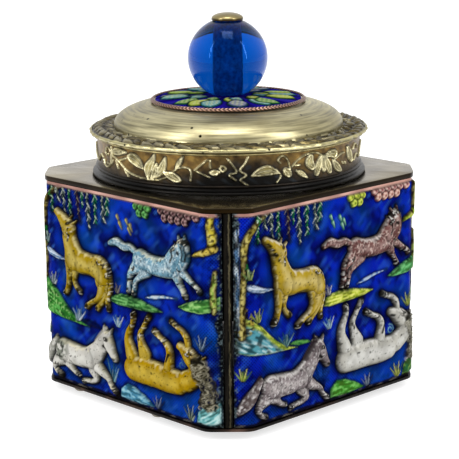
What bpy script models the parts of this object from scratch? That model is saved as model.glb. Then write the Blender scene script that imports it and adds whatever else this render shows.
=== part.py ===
"""Square enamelled tea caddy with cut corners, a round collar and a lift-off domed lid.

The body is four pressed copper sheets that carry one and the same relief of four horses,
soldered to dark corner strips between a base plate and a brass shoulder.  The lid has a
leaf rim, an enamelled medallion and a glass bead held by a pin.
All sizes are metres, +Z is up, and the feet stand on z = 0.
"""
import math

import bmesh
import bpy
import numpy as np
from mathutils import Matrix, Vector

# Fits
JOIN_GAP = 0.0003            # left between pieces that are soldered or rest on each other
LID_CLEARANCE = 0.0004       # between the lid's sleeve and the collar's bore
PIN_CLEARANCE = 0.0003       # around the pin in the bead, the medallion and the lid

# Body
SIDE = 0.0760                # across the flats of the base plate and the shoulder
CORNER_CUT = 0.0080          # how much of a side each cut corner takes
BEND_RADIUS = 0.0040         # bend from a side to a cut corner
BEND_STEPS = 3
BASE_THICK = 0.0007
SHOULDER_THICK = 0.0012
PANEL_HEIGHT = 0.0533
PANEL_INSET = 0.0004         # the panel's ground behind the edges of base and shoulder
PANEL_THICK = 0.0010
STRIP_WIDTH = 0.0020         # dark strip up the middle of each cut corner
STRIP_THICK = 0.0012
STRIP_PROUD = 0.0002
STRIP_BEVEL = 0.0002

# Feet
FOOT_RADIUS = 0.0021
FOOT_HEIGHT = 0.0021
FOOT_FLAT = 0.0011           # radius of the flat that a foot stands on
FOOT_INSET = 0.0046          # from the edge of the base plate to a foot's axis
FOOT_PLACES = (-0.0230, 0.0076)   # along the front edge; the back edge has the same, turned

# Collar
SHOULDER_LEDGE = 0.0050      # from the middle of a side to the bore of shoulder and collar
COLLAR_WALL = 0.0013         # at the ground of the band
BAND_FOOT = 0.0024           # above the collar's underside
BAND_HEIGHT = 0.0072
COLLAR_EDGE = 0.0006         # from the top of the band to the collar's upper edge
BAND_LIP = 0.0005            # the beads above and below the band stand this proud
BAND_RELIEF = 0.0006
FLANGE_WIDTH = 0.0013        # the foot flange reaches this far past the band's ground
FLANGE_THICK = 0.0007

# Lid
LID_WALL = 0.0009
SLEEVE_DEPTH = 0.0080
RIM_OVERHANG = 0.0033        # the rim reaches this far past the collar's bore
RIM_WIDTH = 0.0064           # from the foot of the dome to the rim's outer edge
RIM_ROLL = 0.0005            # radius of the rim's outer edge
RIM_CROWN = 0.0003           # height of the leaf moulding over its two edges
WREATH_RELIEF = 0.0006
WREATH_LEAVES = 40
DOME_FOOT = 0.0012           # the dome springs this high above the rim's underside
DOME_RISE = 0.0074           # if the dome went on to its middle
DOME_FULLNESS = 2.6          # power of the dome's curve; 2 is an ellipse, more is fuller
SEAT_RADIUS = 0.0206         # the flat top that the medallion lies on

# Medallion and knob
ROPE_RADIUS = 0.0005
ROPE_TURNS = 15
MEDALLION_EDGE = 0.0006      # thickness at the medallion's edge
MEDALLION_RISE = 0.0008      # the middle stands this much higher
BEAD_RADIUS = 0.0104
BEAD_FOOT = 0.0045           # radius of the flat ground under the bead
PIN_RADIUS = 0.0023
PIN_FOOT_RADIUS = 0.0038
PIN_FOOT_THICK = 0.0009
CAP_RADIUS = 0.0041
CAP_EDGE = 0.0004
CAP_RISE = 0.0013

# Fineness
ROUND_STEPS = 48
BEAD_STEPS = 20
FOOT_STEPS = 12
DIE_STEP = 0.0006            # spacing of the grid that takes the relief
RING_STEPS = 300
PANEL_SHARE = 0.036          # share of the relief grid's triangles that is kept
COLLAR_SHARE = 0.085
LID_SHARE = 0.085

# The die's drawing, in millimetres on a field as wide as one flat side
DRAWN_WIDTH = 60.0
DRAWN_HEIGHT = 55.8
FIGURE_TOP = 0.0017          # height of a horse's body over the ground
LIMB_TOP = 0.0012
TREE_TOP = 0.0009
LAND_TOP = 0.0006
RELIEF_FADE = 0.0008         # the relief dies out over this width at the sheet's edges

# Radii and levels worked out from the sizes above
HALF = SIDE / 2
EIGHTH = math.pi / 4
CORNER_REACH = (2 * HALF - CORNER_CUT) / math.sqrt(2)    # from the axis to a cut corner
COLLAR_BORE = HALF - SHOULDER_LEDGE
BAND_GROUND = COLLAR_BORE + COLLAR_WALL
COLLAR_HEIGHT = BAND_FOOT + BAND_HEIGHT + COLLAR_EDGE
RIM_RADIUS = COLLAR_BORE + RIM_OVERHANG
DOME_RADIUS = RIM_RADIUS - RIM_WIDTH
BEAD_BORE = PIN_RADIUS + PIN_CLEARANCE

BASE_Z = FOOT_HEIGHT + JOIN_GAP
PANEL_Z = BASE_Z + BASE_THICK + JOIN_GAP
SHOULDER_Z = PANEL_Z + PANEL_HEIGHT + JOIN_GAP
COLLAR_Z = SHOULDER_Z + SHOULDER_THICK + JOIN_GAP
LID_Z = COLLAR_Z + COLLAR_HEIGHT + JOIN_GAP
SPRING_Z = LID_Z + DOME_FOOT
SEAT_FALL = (SEAT_RADIUS / DOME_RADIUS) ** DOME_FULLNESS
SEAT_Z = SPRING_Z + DOME_RISE * (1 - SEAT_FALL) ** (1 / DOME_FULLNESS)
MEDALLION_Z = SEAT_Z + JOIN_GAP
MEDALLION_RADIUS = SEAT_RADIUS - 2 * ROPE_RADIUS - 2 * JOIN_GAP
MEDALLION_TOP = MEDALLION_Z + MEDALLION_EDGE + MEDALLION_RISE
BEAD_Z = MEDALLION_TOP + JOIN_GAP + math.sqrt(BEAD_RADIUS ** 2 - BEAD_FOOT ** 2)

# Poses of the four horses: chains of (across, up, half width) in the die's drawing
STANDING = {
    "tail": [(25.0, 34.8, 0.9), (25.4, 31.6, 1.1), (24.4, 28.2, 1.0), (24.5, 24.4, 0.9)],
    "far_fore": [(11.8, 33.0, 1.4), (11.2, 30.0, 0.8), (11.8, 28.2, 0.7), (13.2, 26.9, 1.0)],
    "near_fore": [(9.8, 33.6, 1.9), (9.4, 30.6, 1.0), (8.9, 28.2, 0.8), (8.2, 26.2, 1.0)],
    "far_hind": [(24.0, 30.0, 1.9), (23.0, 26.6, 1.1), (20.6, 24.0, 1.0)],
    "near_hind": [(22.6, 31.6, 2.9), (22.2, 28.2, 1.6), (19.6, 25.9, 1.0), (16.4, 23.8, 1.0)],
    "ear": [(10.4, 44.8, 0.8), (11.8, 45.6, 0.4)],
    "neck": [(11.2, 36.6, 3.2), (9.8, 38.8, 2.7), (9.0, 41.4, 2.2)],
    "head": [(9.0, 43.4, 2.1), (6.9, 45.1, 1.5), (5.2, 46.4, 1.1)],
    "body": [(11.4, 35.2, 3.5), (14.6, 34.9, 3.3), (18.2, 34.7, 3.1), (21.6, 34.2, 3.5),
             (23.0, 32.6, 3.0)],
}
GALLOPING = {
    "tail": [(35.2, 41.2, 0.8), (33.2, 41.9, 1.1), (30.8, 41.9, 1.1), (28.2, 42.5, 1.2),
             (25.8, 41.9, 0.9)],
    "far_fore": [(52.8, 38.4, 1.1), (55.4, 36.9, 0.8), (58.0, 35.2, 1.0)],
    "near_fore": [(50.0, 37.8, 1.6), (51.6, 35.4, 0.9), (53.2, 33.0, 0.9)],
    "far_hind": [(39.4, 36.9, 1.7), (36.6, 34.9, 1.0), (35.0, 33.4, 0.8), (34.6, 30.8, 0.8)],
    "near_hind": [(36.6, 37.8, 2.2), (33.6, 35.6, 1.1), (33.0, 33.0, 0.8), (32.8, 30.8, 0.9)],
    "ear": [(53.2, 46.4, 0.8), (52.6, 48.0, 0.4)],
    "neck": [(49.0, 41.0, 3.0), (51.0, 43.4, 2.8), (52.4, 45.0, 2.2)],
    "head": [(52.8, 45.0, 2.1), (52.9, 42.4, 2.1), (52.2, 39.8, 1.4)],
    "body": [(37.4, 39.6, 2.8), (41.0, 39.0, 2.6), (45.0, 38.9, 2.7), (48.6, 39.3, 2.9)],
}
KNEELING = {
    "tail": [(3.0, 12.4, 0.8), (1.6, 10.4, 1.2), (-0.2, 7.6, 1.6), (-2.4, 5.0, 1.0)],
    "far_fore": [(17.6, 6.8, 1.8), (19.2, 4.3, 1.0), (16.2, 3.4, 0.8), (13.9, 3.0, 0.9)],
    "near_fore": [(19.6, 7.8, 1.9), (23.2, 6.3, 1.1), (25.0, 4.4, 0.8), (27.0, 2.9, 0.9)],
    "far_hind": [(7.6, 6.6, 1.6), (9.6, 5.0, 1.0), (11.3, 4.2, 0.9)],
    "near_hind": [(5.2, 7.2, 2.3), (2.7, 5.6, 1.2), (2.5, 3.9, 0.8), (4.8, 2.7, 0.9)],
    "ear": [(23.4, 17.6, 0.8), (22.9, 19.2, 0.4)],
    "neck": [(18.6, 11.0, 3.1), (20.6, 13.0, 2.7), (22.6, 15.2, 2.2)],
    "head": [(24.0, 16.8, 1.8), (24.4, 14.8, 2.0), (25.8, 12.8, 1.3), (26.8, 11.5, 1.1)],
    "body": [(17.6, 9.9, 3.2), (14.0, 9.4, 3.0), (10.4, 9.5, 3.2), (6.2, 9.9, 3.4)],
}
ROLLING = {
    "tail": [(58.8, 17.0, 1.2), (59.4, 13.8, 2.0), (60.0, 10.6, 1.8)],
    "far_fore": [(53.8, 20.8, 0.9), (53.2, 23.0, 1.0), (50.6, 24.5, 0.8), (48.2, 25.5, 1.0)],
    "near_fore": [(47.0, 13.8, 1.7), (47.4, 17.6, 1.1), (46.2, 19.8, 1.0), (41.9, 21.8, 0.9)],
    "far_hind": [(38.0, 15.0, 2.2), (36.9, 17.8, 1.3), (36.2, 20.2, 1.0), (39.7, 24.9, 0.9)],
    "near_hind": [(33.4, 14.4, 2.1), (32.2, 18.2, 1.3), (33.2, 21.2, 0.9), (34.1, 24.6, 1.0)],
    "ear": [(58.4, 17.4, 0.7), (60.2, 18.4, 0.4)],
    "neck": [(53.4, 11.5, 2.9), (56.2, 13.2, 2.6), (57.4, 15.4, 2.2)],
    "head": [(56.9, 16.9, 2.1), (54.9, 18.3, 2.1), (52.8, 19.5, 1.6), (51.4, 19.9, 1.3)],
    "body": [(33.9, 10.7, 3.5), (37.6, 10.8, 3.7), (42.0, 10.8, 3.7), (46.4, 10.5, 3.6),
             (50.2, 10.5, 3.3)],
}
HORSES = (STANDING, GALLOPING, KNEELING, ROLLING)
FULL_HEIGHT = ("neck", "head", "body")       # the other parts of a horse lie lower

# Hills and rocks: the crest's line, the level of the foot
MOUNDS = (
    ([(-3.3, 29.6), (1.0, 27.4), (4.0, 25.4), (7.5, 22.2), (12.6, 18.6)], 18.3),
    ([(25.0, 27.4), (27.6, 29.0), (33.0, 29.6), (38.0, 28.8), (44.5, 27.0)], 26.2),
    ([(50.5, 29.6), (54.0, 31.6), (60.0, 33.4), (63.3, 33.6)], 29.3),
    ([(28.5, 2.6), (30.5, 5.8), (34.0, 5.6), (41.0, 2.4)], 2.2),
    ([(55.5, 1.6), (59.0, 5.6), (63.3, 6.4)], 1.4),
)
# Trees: chains of (across, up, half width)
TREES = (
    [(-1.8, 25.0, 1.0), (-1.7, 33.0, 0.9), (-1.2, 41.0, 0.9), (-1.5, 48.0, 1.0), (-1.8, 54.0, 0.9)],
    [(-1.2, 47.0, 0.8), (1.6, 51.2, 0.7), (6.0, 53.8, 0.5)],
    [(62.0, 54.0, 1.0), (61.4, 50.0, 1.1), (61.8, 46.4, 1.0), (58.8, 45.8, 0.9), (56.4, 44.6, 0.8)],
)
# Leaf and blossom clusters: first and last heart, how many, and the size of each
CLUSTERS = (
    ((35.4, 52.4), (40.2, 52.4), 4, 1.6),
    ((44.6, 52.6), (57.6, 53.0), 8, 1.7),
)
PERCH_LEAVES = (((28.6, 50.0), (29.6, 47.2)), ((32.2, 49.4), (33.4, 46.6)))

# Leaves and petals of the collar: start and end as (degrees round, millimetres up), and width
BAND_LEAVES = (
    ((-58.5, 5.2), (-47.5, 6.4), 1.9),
    ((-45.5, 5.8), (-37.0, 3.4), 2.6),
    ((-35.0, 1.2), (-31.0, 7.0), 2.4),
    ((-33.5, 1.2), (-25.5, 6.4), 2.4),
    ((-27.0, 3.0), (-19.5, 1.2), 2.0),
    ((-21.5, 3.6), (-18.2, 6.9), 1.3),
    ((-7.0, 2.6), (-3.0, 4.0), 1.3),
    ((2.2, 2.9), (7.2, 2.9), 1.7),
    ((9.5, 2.4), (22.0, 2.4), 2.7),
    ((24.6, 4.2), (25.6, 1.6), 1.8),
    ((29.5, 2.6), (35.0, 0.6), 1.6),
    ((34.2, 5.6), (38.5, 2.8), 2.6),
    ((42.5, 5.6), (39.5, 0.8), 1.9),
    ((43.0, 5.4), (44.2, 1.5), 1.5),
    ((43.5, 5.4), (48.0, 0.8), 1.9),
    ((44.5, 4.6), (51.5, 5.8), 2.4),
    ((49.5, 3.0), (56.0, 0.8), 2.0),
    ((61.0, 6.0), (65.5, 2.2), 2.2),
)
# Stems and tendrils of the collar, as chains
BAND_STEMS = (
    [(-66.0, 5.2), (-63.0, 4.4), (-61.0, 5.6), (-64.5, 6.6)],
    [(-58.0, 6.6), (-57.0, 3.8), (-60.0, 1.6), (-66.0, 1.8)],
    [(-58.0, 5.0), (-48.0, 2.6), (-37.0, 0.6), (-27.0, 0.9), (-20.0, 1.8)],
    [(-13.5, 4.2), (-7.0, 6.4), (-6.0, 4.6)],
    [(0.5, 6.6), (4.0, 4.6), (7.8, 7.0)],
    [(21.0, 6.0), (24.0, 5.8), (25.4, 4.2)],
    [(27.0, 3.8), (31.0, 5.8), (37.0, 6.5), (43.0, 5.4)],
)
STEM_GIRTH = 0.35
BAND_REPEATS = 2             # the whole run of ornament stands twice round the collar
BAND_FRONT = -45.0           # degrees: its middle faces the front right corner


def finish(name, colour, metallic, roughness, alpha=1.0):
    """A plain material with a piece's colour and gloss."""
    material = bpy.data.materials.new(name)
    material.use_nodes = True
    shader = material.node_tree.nodes["Principled BSDF"]
    shader.inputs["Base Color"].default_value = (*colour, 1.0)
    shader.inputs["Metallic"].default_value = metallic
    shader.inputs["Roughness"].default_value = roughness
    shader.inputs["Alpha"].default_value = alpha
    material.diffuse_color = (*colour, alpha)
    return material


def add_object(name, data, material, collection):
    """Put a mesh or curve in the collection under its piece's name."""
    piece = bpy.data.objects.new(name, data)
    if not data.materials:
        data.materials.append(material)
    collection.objects.link(piece)
    return piece


def mesh_from(shape, name):
    """Turn a bmesh with outward faces into a mesh and free it."""
    bmesh.ops.recalc_face_normals(shape, faces=shape.faces)
    mesh = bpy.data.meshes.new(name)
    shape.to_mesh(mesh)
    shape.free()
    mesh.shade_smooth()
    mesh.set_sharp_from_angle(angle=math.radians(35))
    return mesh


def thin_out(piece, share):
    """Keep only as many triangles as the relief needs."""
    thin = piece.modifiers.new("Thin out", "DECIMATE")
    thin.decimate_type = "COLLAPSE"
    thin.ratio = share
    thin.use_collapse_triangulate = True


def arc(centre, radius, start, end, steps):
    """Points on an arc in a plane, both ends included; the angles are radians."""
    angles = np.linspace(start, end, steps + 1)
    return [(centre[0] + radius * math.cos(a), centre[1] + radius * math.sin(a)) for a in angles]


def stroke(across, up, start, end):
    """Share along a straight stroke, and distance from it, for every grid point."""
    run = (end[0] - start[0], end[1] - start[1])
    length = math.hypot(*run)
    share = ((across - start[0]) * run[0] + (up - start[1]) * run[1]) / length ** 2
    share = np.clip(share, 0.0, 1.0)
    off = np.hypot(across - start[0] - share * run[0], up - start[1] - share * run[1])
    return share, off


def raise_limb(field, across, up, start, end, girths, top):
    """Raise a rounded, tapered limb between two points."""
    share, off = stroke(across, up, start, end)
    half = girths[0] + (girths[1] - girths[0]) * share
    np.maximum(field, top * np.sqrt(np.clip(1 - (off / half) ** 2, 0, 1)), out=field)


def raise_chain(field, across, up, points, top):
    """Raise a run of limbs through points that each give a place and a half width."""
    for start, end in zip(points, points[1:]):
        raise_limb(field, across, up, start[:2], end[:2], (start[2], end[2]), top)


def raise_leaf(field, across, up, start, end, width, top):
    """Raise a leaf or petal that is pointed at both ends."""
    share, off = stroke(across, up, start, end)
    half = np.maximum(width / 2 * np.sin(math.pi * share) ** 0.7, 1e-9)
    np.maximum(field, top * np.sqrt(np.clip(1 - (off / half) ** 2, 0, 1)), out=field)


def raise_mound(field, across, up, crest, foot, top, soft):
    """Raise the land between a crest line and a level foot."""
    line = np.interp(across, [p[0] for p in crest], [p[1] for p in crest])
    inside = np.minimum(line - up, up - foot)
    inside = np.minimum(inside, np.minimum(across - crest[0][0], crest[-1][0] - across) + soft)
    np.maximum(field, top * np.sqrt(np.clip(inside / soft, 0, 1)), out=field)


def raise_horse(field, across, up, pose):
    """Raise one horse, its limbs lower than its body, neck and head."""
    for part, points in pose.items():
        raise_chain(field, across, up, points, FIGURE_TOP if part in FULL_HEIGHT else LIMB_TOP)


def die_relief(across, up):
    """Height of the pressed relief over the ground, at points of the die's drawing."""
    field = np.zeros_like(across)
    for crest, foot in MOUNDS:
        raise_mound(field, across, up, crest, foot, LAND_TOP, 1.0)
    for points in TREES:
        raise_chain(field, across, up, points, TREE_TOP)
    for first, last, count, size in CLUSTERS:
        for i in range(count):
            share = i / (count - 1)
            heart = (first[0] + (last[0] - first[0]) * share, first[1] + (last[1] - first[1]) * share)
            raise_limb(field, across, up, heart, (heart[0], heart[1] - size / 2), (size, size), TREE_TOP)
    for start, end in PERCH_LEAVES:
        raise_leaf(field, across, up, start, end, 1.6, LAND_TOP)
    for pose in HORSES:
        raise_horse(field, across, up, pose)
    return field


def sheet_sizes():
    """Half flat, bend arc and flap of a panel's ground, from the middle outwards."""
    flat = HALF - PANEL_INSET
    reach = CORNER_REACH - PANEL_INSET
    vertex = reach * math.sqrt(2) - flat
    tangent = BEND_RADIUS * math.tan(EIGHTH / 2)
    corner_half = (flat - vertex) / math.sqrt(2)
    half_flat = vertex - tangent
    flap = corner_half - tangent - STRIP_WIDTH / 2 - JOIN_GAP
    return half_flat, BEND_RADIUS * EIGHTH, flap


def bend_point(run, rise):
    """Plan position on the front panel at a length along its ground and a height over it."""
    half_flat, bend, _ = sheet_sizes()
    side = math.copysign(1.0, run)
    turn = min(max((abs(run) - half_flat) / BEND_RADIUS, 0.0), EIGHTH)
    past = max(abs(run) - half_flat - bend, 0.0)
    outward = Vector((math.sin(turn), -math.cos(turn)))
    along = Vector((math.cos(turn), math.sin(turn)))
    ground = HALF - PANEL_INSET
    centre = Vector((min(abs(run), half_flat), -(ground - BEND_RADIUS)))
    place = centre + outward * (BEND_RADIUS + rise) + along * past
    return side * place.x, place.y


def panel_mesh():
    """One pressed sheet: a grid raised by the die, bent at both ends and given its thickness."""
    half_width = sum(sheet_sizes())
    columns = round(2 * half_width / DIE_STEP)
    rows = round(PANEL_HEIGHT / DIE_STEP)
    sheet = bmesh.new()
    bmesh.ops.create_grid(sheet, x_segments=columns, y_segments=rows, size=0.5)
    back = bmesh.ops.extrude_face_region(sheet, geom=sheet.faces[:])
    back = {v for v in back["geom"] if isinstance(v, bmesh.types.BMVert)}
    front = [v for v in sheet.verts if v not in back]
    run = np.array([v.co.x for v in front]) * 2 * half_width
    up = (np.array([v.co.y for v in front]) + 0.5) * PANEL_HEIGHT
    drawn_half = CORNER_REACH * math.sqrt(2) - HALF
    across_drawn = (run / drawn_half + 1) * DRAWN_WIDTH / 2
    full_height = SHOULDER_Z + SHOULDER_THICK - BASE_Z
    up_drawn = (up + PANEL_Z - BASE_Z) / full_height * DRAWN_HEIGHT
    edge = np.minimum(half_width - abs(run), np.minimum(up, PANEL_HEIGHT - up))
    rise = die_relief(across_drawn, up_drawn) * np.clip(edge / RELIEF_FADE, 0, 1)
    for vert, length, height, out in zip(front, run, up, rise):
        vert.co = (*bend_point(length, out), PANEL_Z + height)
    for vert in back:
        height = (vert.co.y + 0.5) * PANEL_HEIGHT
        vert.co = (*bend_point(vert.co.x * 2 * half_width, -PANEL_THICK), PANEL_Z + height)
    return mesh_from(sheet, "pressed_sheet")


def make_panels(collection):
    """Four sheets from one die, each turned a quarter further round the axis."""
    enamel = finish("cobalt_enamel", (0.02, 0.05, 0.55), 0.0, 0.25)
    mesh = panel_mesh()
    for quarter, name in enumerate(("front", "right", "back", "left")):
        panel = add_object("panel_" + name, mesh, enamel, collection)
        panel.rotation_euler.z = quarter * math.pi / 2
        thin_out(panel, PANEL_SHARE)


def make_corner_strips(collection):
    """Dark strips that close the joints between the panels."""
    dark = finish("blackened_brass", (0.05, 0.04, 0.03), 0.6, 0.5)
    reach = CORNER_REACH - PANEL_INSET + STRIP_PROUD - STRIP_THICK / 2
    for quarter, name in enumerate(("front_right", "back_right", "back_left", "front_left")):
        angle = -EIGHTH + quarter * math.pi / 2
        bpy.ops.mesh.primitive_cube_add(size=1)
        strip = bpy.context.object
        strip.name = "corner_strip_" + name
        strip.data.transform(Matrix.Diagonal((STRIP_THICK, STRIP_WIDTH, PANEL_HEIGHT, 1)))
        strip.location = (reach * math.cos(angle), reach * math.sin(angle), PANEL_Z + PANEL_HEIGHT / 2)
        strip.rotation_euler.z = angle
        strip.data.materials.append(dark)
        bevel = strip.modifiers.new("Bevel", "BEVEL")
        bevel.width = STRIP_BEVEL
        bevel.segments = 1
        for home in strip.users_collection:
            home.objects.unlink(strip)
        collection.objects.link(strip)


def plate_outline():
    """Corners of the square plan with its four cut corners and rounded bends."""
    vertex = HALF - CORNER_CUT
    tangent = BEND_RADIUS * math.tan(EIGHTH / 2)
    points = []
    for quarter in range(4):
        turn = quarter * math.pi / 2
        first = arc((HALF - BEND_RADIUS, vertex - tangent), BEND_RADIUS, 0, EIGHTH, BEND_STEPS)
        second = [(y, x) for x, y in reversed(first)]
        for x, y in first + second:
            points.append((x * math.cos(turn) - y * math.sin(turn), x * math.sin(turn) + y * math.cos(turn)))
    return points


def make_plate(name, low, thick, hole, material, collection):
    """A flat plate to the body's plan, with a round hole if it has a radius."""
    curve = bpy.data.curves.new(name, "CURVE")
    curve.dimensions = "2D"
    curve.fill_mode = "BOTH"
    curve.extrude = thick / 2
    outlines = [plate_outline()]
    if hole:
        outlines.append(arc((0, 0), hole, 0, 2 * math.pi, ROUND_STEPS)[:-1])
    for outline in outlines:
        spline = curve.splines.new("POLY")
        spline.points.add(len(outline) - 1)
        for point, (x, y) in zip(spline.points, outline):
            point.co = (x, y, 0, 1)
        spline.use_cyclic_u = True
    plate = add_object(name, curve, material, collection)
    plate.location.z = low + thick / 2
    return plate


def turned(name, profile, steps, material, collection, closed=True):
    """Turn a profile of (radius, height) points about the axis."""
    mesh = bpy.data.meshes.new(name)
    count = len(profile)
    edges = [(i, (i + 1) % count) for i in range(count if closed else count - 1)]
    mesh.from_pydata([(r, 0, z) for r, z in profile], edges, [])
    piece = add_object(name, mesh, material, collection)
    screw = piece.modifiers.new("Turn", "SCREW")
    screw.axis = "Z"
    screw.angle = 2 * math.pi
    screw.steps = steps
    screw.render_steps = steps
    screw.use_merge_vertices = True
    screw.merge_threshold = 0.00001
    screw.use_normal_calculate = closed
    screw.use_smooth_shade = True
    return piece


def make_feet(collection):
    """Small domed feet, two under the front edge and two under the back."""
    bronze = finish("foot_brass", (0.25, 0.2, 0.1), 1.0, 0.4)
    end = math.acos(FOOT_FLAT / FOOT_RADIUS)
    side = arc((0, 0), 1.0, 0, -end, 4)
    drop = math.sin(end)
    profile = [(0, FOOT_HEIGHT)]
    profile += [(x * FOOT_RADIUS, FOOT_HEIGHT * (1 + y / drop)) for x, y in side]
    profile += [(0, 0)]
    for half in range(2):
        turn = half * math.pi
        for number, place in enumerate(FOOT_PLACES):
            name = ("foot_front_", "foot_back_")[half] + ("left", "right")[number != half]
            foot = turned(name, profile, FOOT_STEPS, bronze, collection, closed=False)
            spot = Matrix.Rotation(turn, 3, "Z") @ Vector((place, -(HALF - FOOT_INSET), 0))
            foot.location = spot


def ring_mesh(profile, steps, name, lift):
    """Spin a closed profile, then move each point by what lift gives for it."""
    ring = bmesh.new()
    verts = [ring.verts.new((r, 0, z)) for r, z in profile]
    edges = [ring.edges.new((verts[i], verts[(i + 1) % len(verts)])) for i in range(len(verts))]
    bmesh.ops.spin(ring, geom=verts + edges, cent=(0, 0, 0), axis=(0, 0, 1),
                   angle=2 * math.pi, steps=steps, use_merge=True)
    places = np.array([v.co for v in ring.verts])
    radius = np.hypot(places[:, 0], places[:, 1])
    angle = np.degrees(np.arctan2(places[:, 1], places[:, 0]))
    outward, upward = lift(angle, radius, places[:, 2])
    for vert, r, out, rise in zip(ring.verts, radius, outward, upward):
        vert.co.xy *= (r + out) / r
        vert.co.z += rise
    return mesh_from(ring, name)


def make_collar(material, collection):
    """The round band soldered to the shoulder, with its vine of leaves and its foot flange."""
    ground = BAND_GROUND
    flange = ground + FLANGE_WIDTH
    lip = ground + BAND_LIP
    low = COLLAR_Z + BAND_FOOT
    high = low + BAND_HEIGHT
    top = COLLAR_Z + COLLAR_HEIGHT
    rows = round(BAND_HEIGHT / DIE_STEP)
    profile = [(COLLAR_BORE, top), (lip, top), (lip, high + BAND_LIP / 2)]
    profile += [(ground, high - BAND_HEIGHT * i / rows) for i in range(rows + 1)]
    profile += [(lip, low - BAND_LIP / 2), (lip, low - BAND_LIP), (ground, low - 2 * BAND_LIP)]
    profile += [(ground, COLLAR_Z + 1.5 * FLANGE_THICK), (flange, COLLAR_Z + FLANGE_THICK)]
    profile += [(flange, COLLAR_Z), (COLLAR_BORE, COLLAR_Z)]

    def lift(angle, radius, height):
        share = 360.0 / BAND_REPEATS
        turned_angle = (angle - BAND_FRONT + share / 2) % share - share / 2
        millimetres = 1000 * math.radians(1) * ground
        across = turned_angle * millimetres
        up = (height - low) * 1000
        field = np.zeros_like(angle)
        relief = BAND_RELIEF
        for start, end, width in BAND_LEAVES:
            start = (start[0] * millimetres, start[1])
            end = (end[0] * millimetres, end[1])
            raise_leaf(field, across, up, start, end, width, relief)
        for points in BAND_STEMS:
            points = [(a * millimetres, v, STEM_GIRTH) for a, v in points]
            raise_chain(field, across, up, points, relief)
        on_band = (abs(radius - ground) < BAND_LIP / 10) & (height > low) & (height < high)
        return field * on_band, np.zeros_like(field)

    collar = add_object("collar", ring_mesh(profile, RING_STEPS, "collar", lift), material, collection)
    thin_out(collar, COLLAR_SHARE)


def dome_points(inset, first_radius, steps):
    """Points on the dome's full curve, from a radius near the seat down to its foot."""
    wide = DOME_RADIUS - inset
    tall = DOME_RISE - inset
    power = 2 / DOME_FULLNESS
    start = math.acos((first_radius / wide) ** (1 / power))
    points = []
    for turn in np.linspace(start, 0, steps + 1):
        rise = tall * math.sin(turn) ** power
        points.append((wide * math.cos(turn) ** power, SPRING_Z + rise))
    return points


def make_lid(material, collection):
    """Domed lid in one piece with its leaf rim and the sleeve that drops into the collar."""
    sleeve = COLLAR_BORE - LID_CLEARANCE
    pin_hole = PIN_RADIUS + PIN_CLEARANCE
    outer = [(pin_hole, SEAT_Z)] + dome_points(0, SEAT_RADIUS, 7)
    width = RIM_RADIUS - RIM_ROLL - DOME_RADIUS
    moulding = []
    for i in range(1, 10):
        share = i / 10
        crown = RIM_CROWN * math.sin(math.pi * share) + (LID_Z + RIM_ROLL * 2 - SPRING_Z) * share
        moulding.append((DOME_RADIUS + width * share, SPRING_Z + crown))
    roll = arc((RIM_RADIUS - RIM_ROLL, LID_Z + RIM_ROLL), RIM_ROLL, math.pi / 2, -math.pi / 2, 4)
    inner = [(r, z) for r, z in reversed(dome_points(LID_WALL, SEAT_RADIUS - LID_WALL, 4))]
    under = [(sleeve, LID_Z), (sleeve, LID_Z - SLEEVE_DEPTH), (sleeve - LID_WALL, LID_Z - SLEEVE_DEPTH)]
    under += [(sleeve - LID_WALL, LID_Z + LID_WALL / 2)]
    profile = outer + moulding + roll + under + inner + [(pin_hole, SEAT_Z - LID_WALL)]

    def lift(angle, radius, height):
        on_rim = (radius > DOME_RADIUS + width * 0.05) & (radius < DOME_RADIUS + width * 0.95)
        on_rim &= height > SPRING_Z - RIM_ROLL
        across = np.clip((radius - DOME_RADIUS) / width * 2 - 1, -1, 1)
        slant = angle / 360 * WREATH_LEAVES + abs(across) * 0.6
        leaf = abs(np.sin(math.pi * slant)) ** 0.6 * (1 - across ** 2) ** 0.5
        spine = np.clip(1 - abs(across) * 4, 0, 1)
        rise = WREATH_RELIEF * (np.maximum(leaf, spine) - 0.5)
        return np.zeros_like(rise), rise * on_rim

    lid = add_object("lid", ring_mesh(profile, RING_STEPS, "lid", lift), material, collection)
    thin_out(lid, LID_SHARE)


def make_medallion(collection):
    """Domed enamel disc on the lid's seat, and the twisted wire soldered round it."""
    blue = finish("violet_enamel", (0.08, 0.07, 0.5), 0.0, 0.25)
    copper = finish("copper_wire", (0.6, 0.32, 0.28), 1.0, 0.4)
    pin_hole = PIN_RADIUS + PIN_CLEARANCE
    edge_top = MEDALLION_Z + MEDALLION_EDGE
    profile = []
    for i in range(4):
        share = i / 3
        radius = pin_hole + (MEDALLION_RADIUS - pin_hole) * share
        profile.append((radius, edge_top + MEDALLION_RISE * (1 - share ** 2)))
    profile += [(MEDALLION_RADIUS, MEDALLION_Z), (pin_hole, MEDALLION_Z)]
    turned("medallion", profile, ROUND_STEPS, blue, collection)

    major = MEDALLION_RADIUS + JOIN_GAP + ROPE_RADIUS
    bpy.ops.mesh.primitive_torus_add(major_radius=major, minor_radius=ROPE_RADIUS,
                                     major_segments=54, minor_segments=5)
    rope = bpy.context.object
    rope.name = "rope_ring"
    for vert in rope.data.vertices:
        place = Vector((math.hypot(vert.co.x, vert.co.y) - major, vert.co.z))
        round_angle = math.atan2(vert.co.y, vert.co.x)
        strand = 2 * (math.atan2(place.y, place.x) - ROPE_TURNS * round_angle)
        place *= 0.86 + 0.14 * math.cos(strand)
        vert.co.x = (major + place.x) * math.cos(round_angle)
        vert.co.y = (major + place.x) * math.sin(round_angle)
        vert.co.z = place.y
    rope.location.z = MEDALLION_Z + ROPE_RADIUS
    rope.data.materials.append(copper)
    for home in rope.users_collection:
        home.objects.unlink(rope)
    collection.objects.link(rope)


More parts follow.
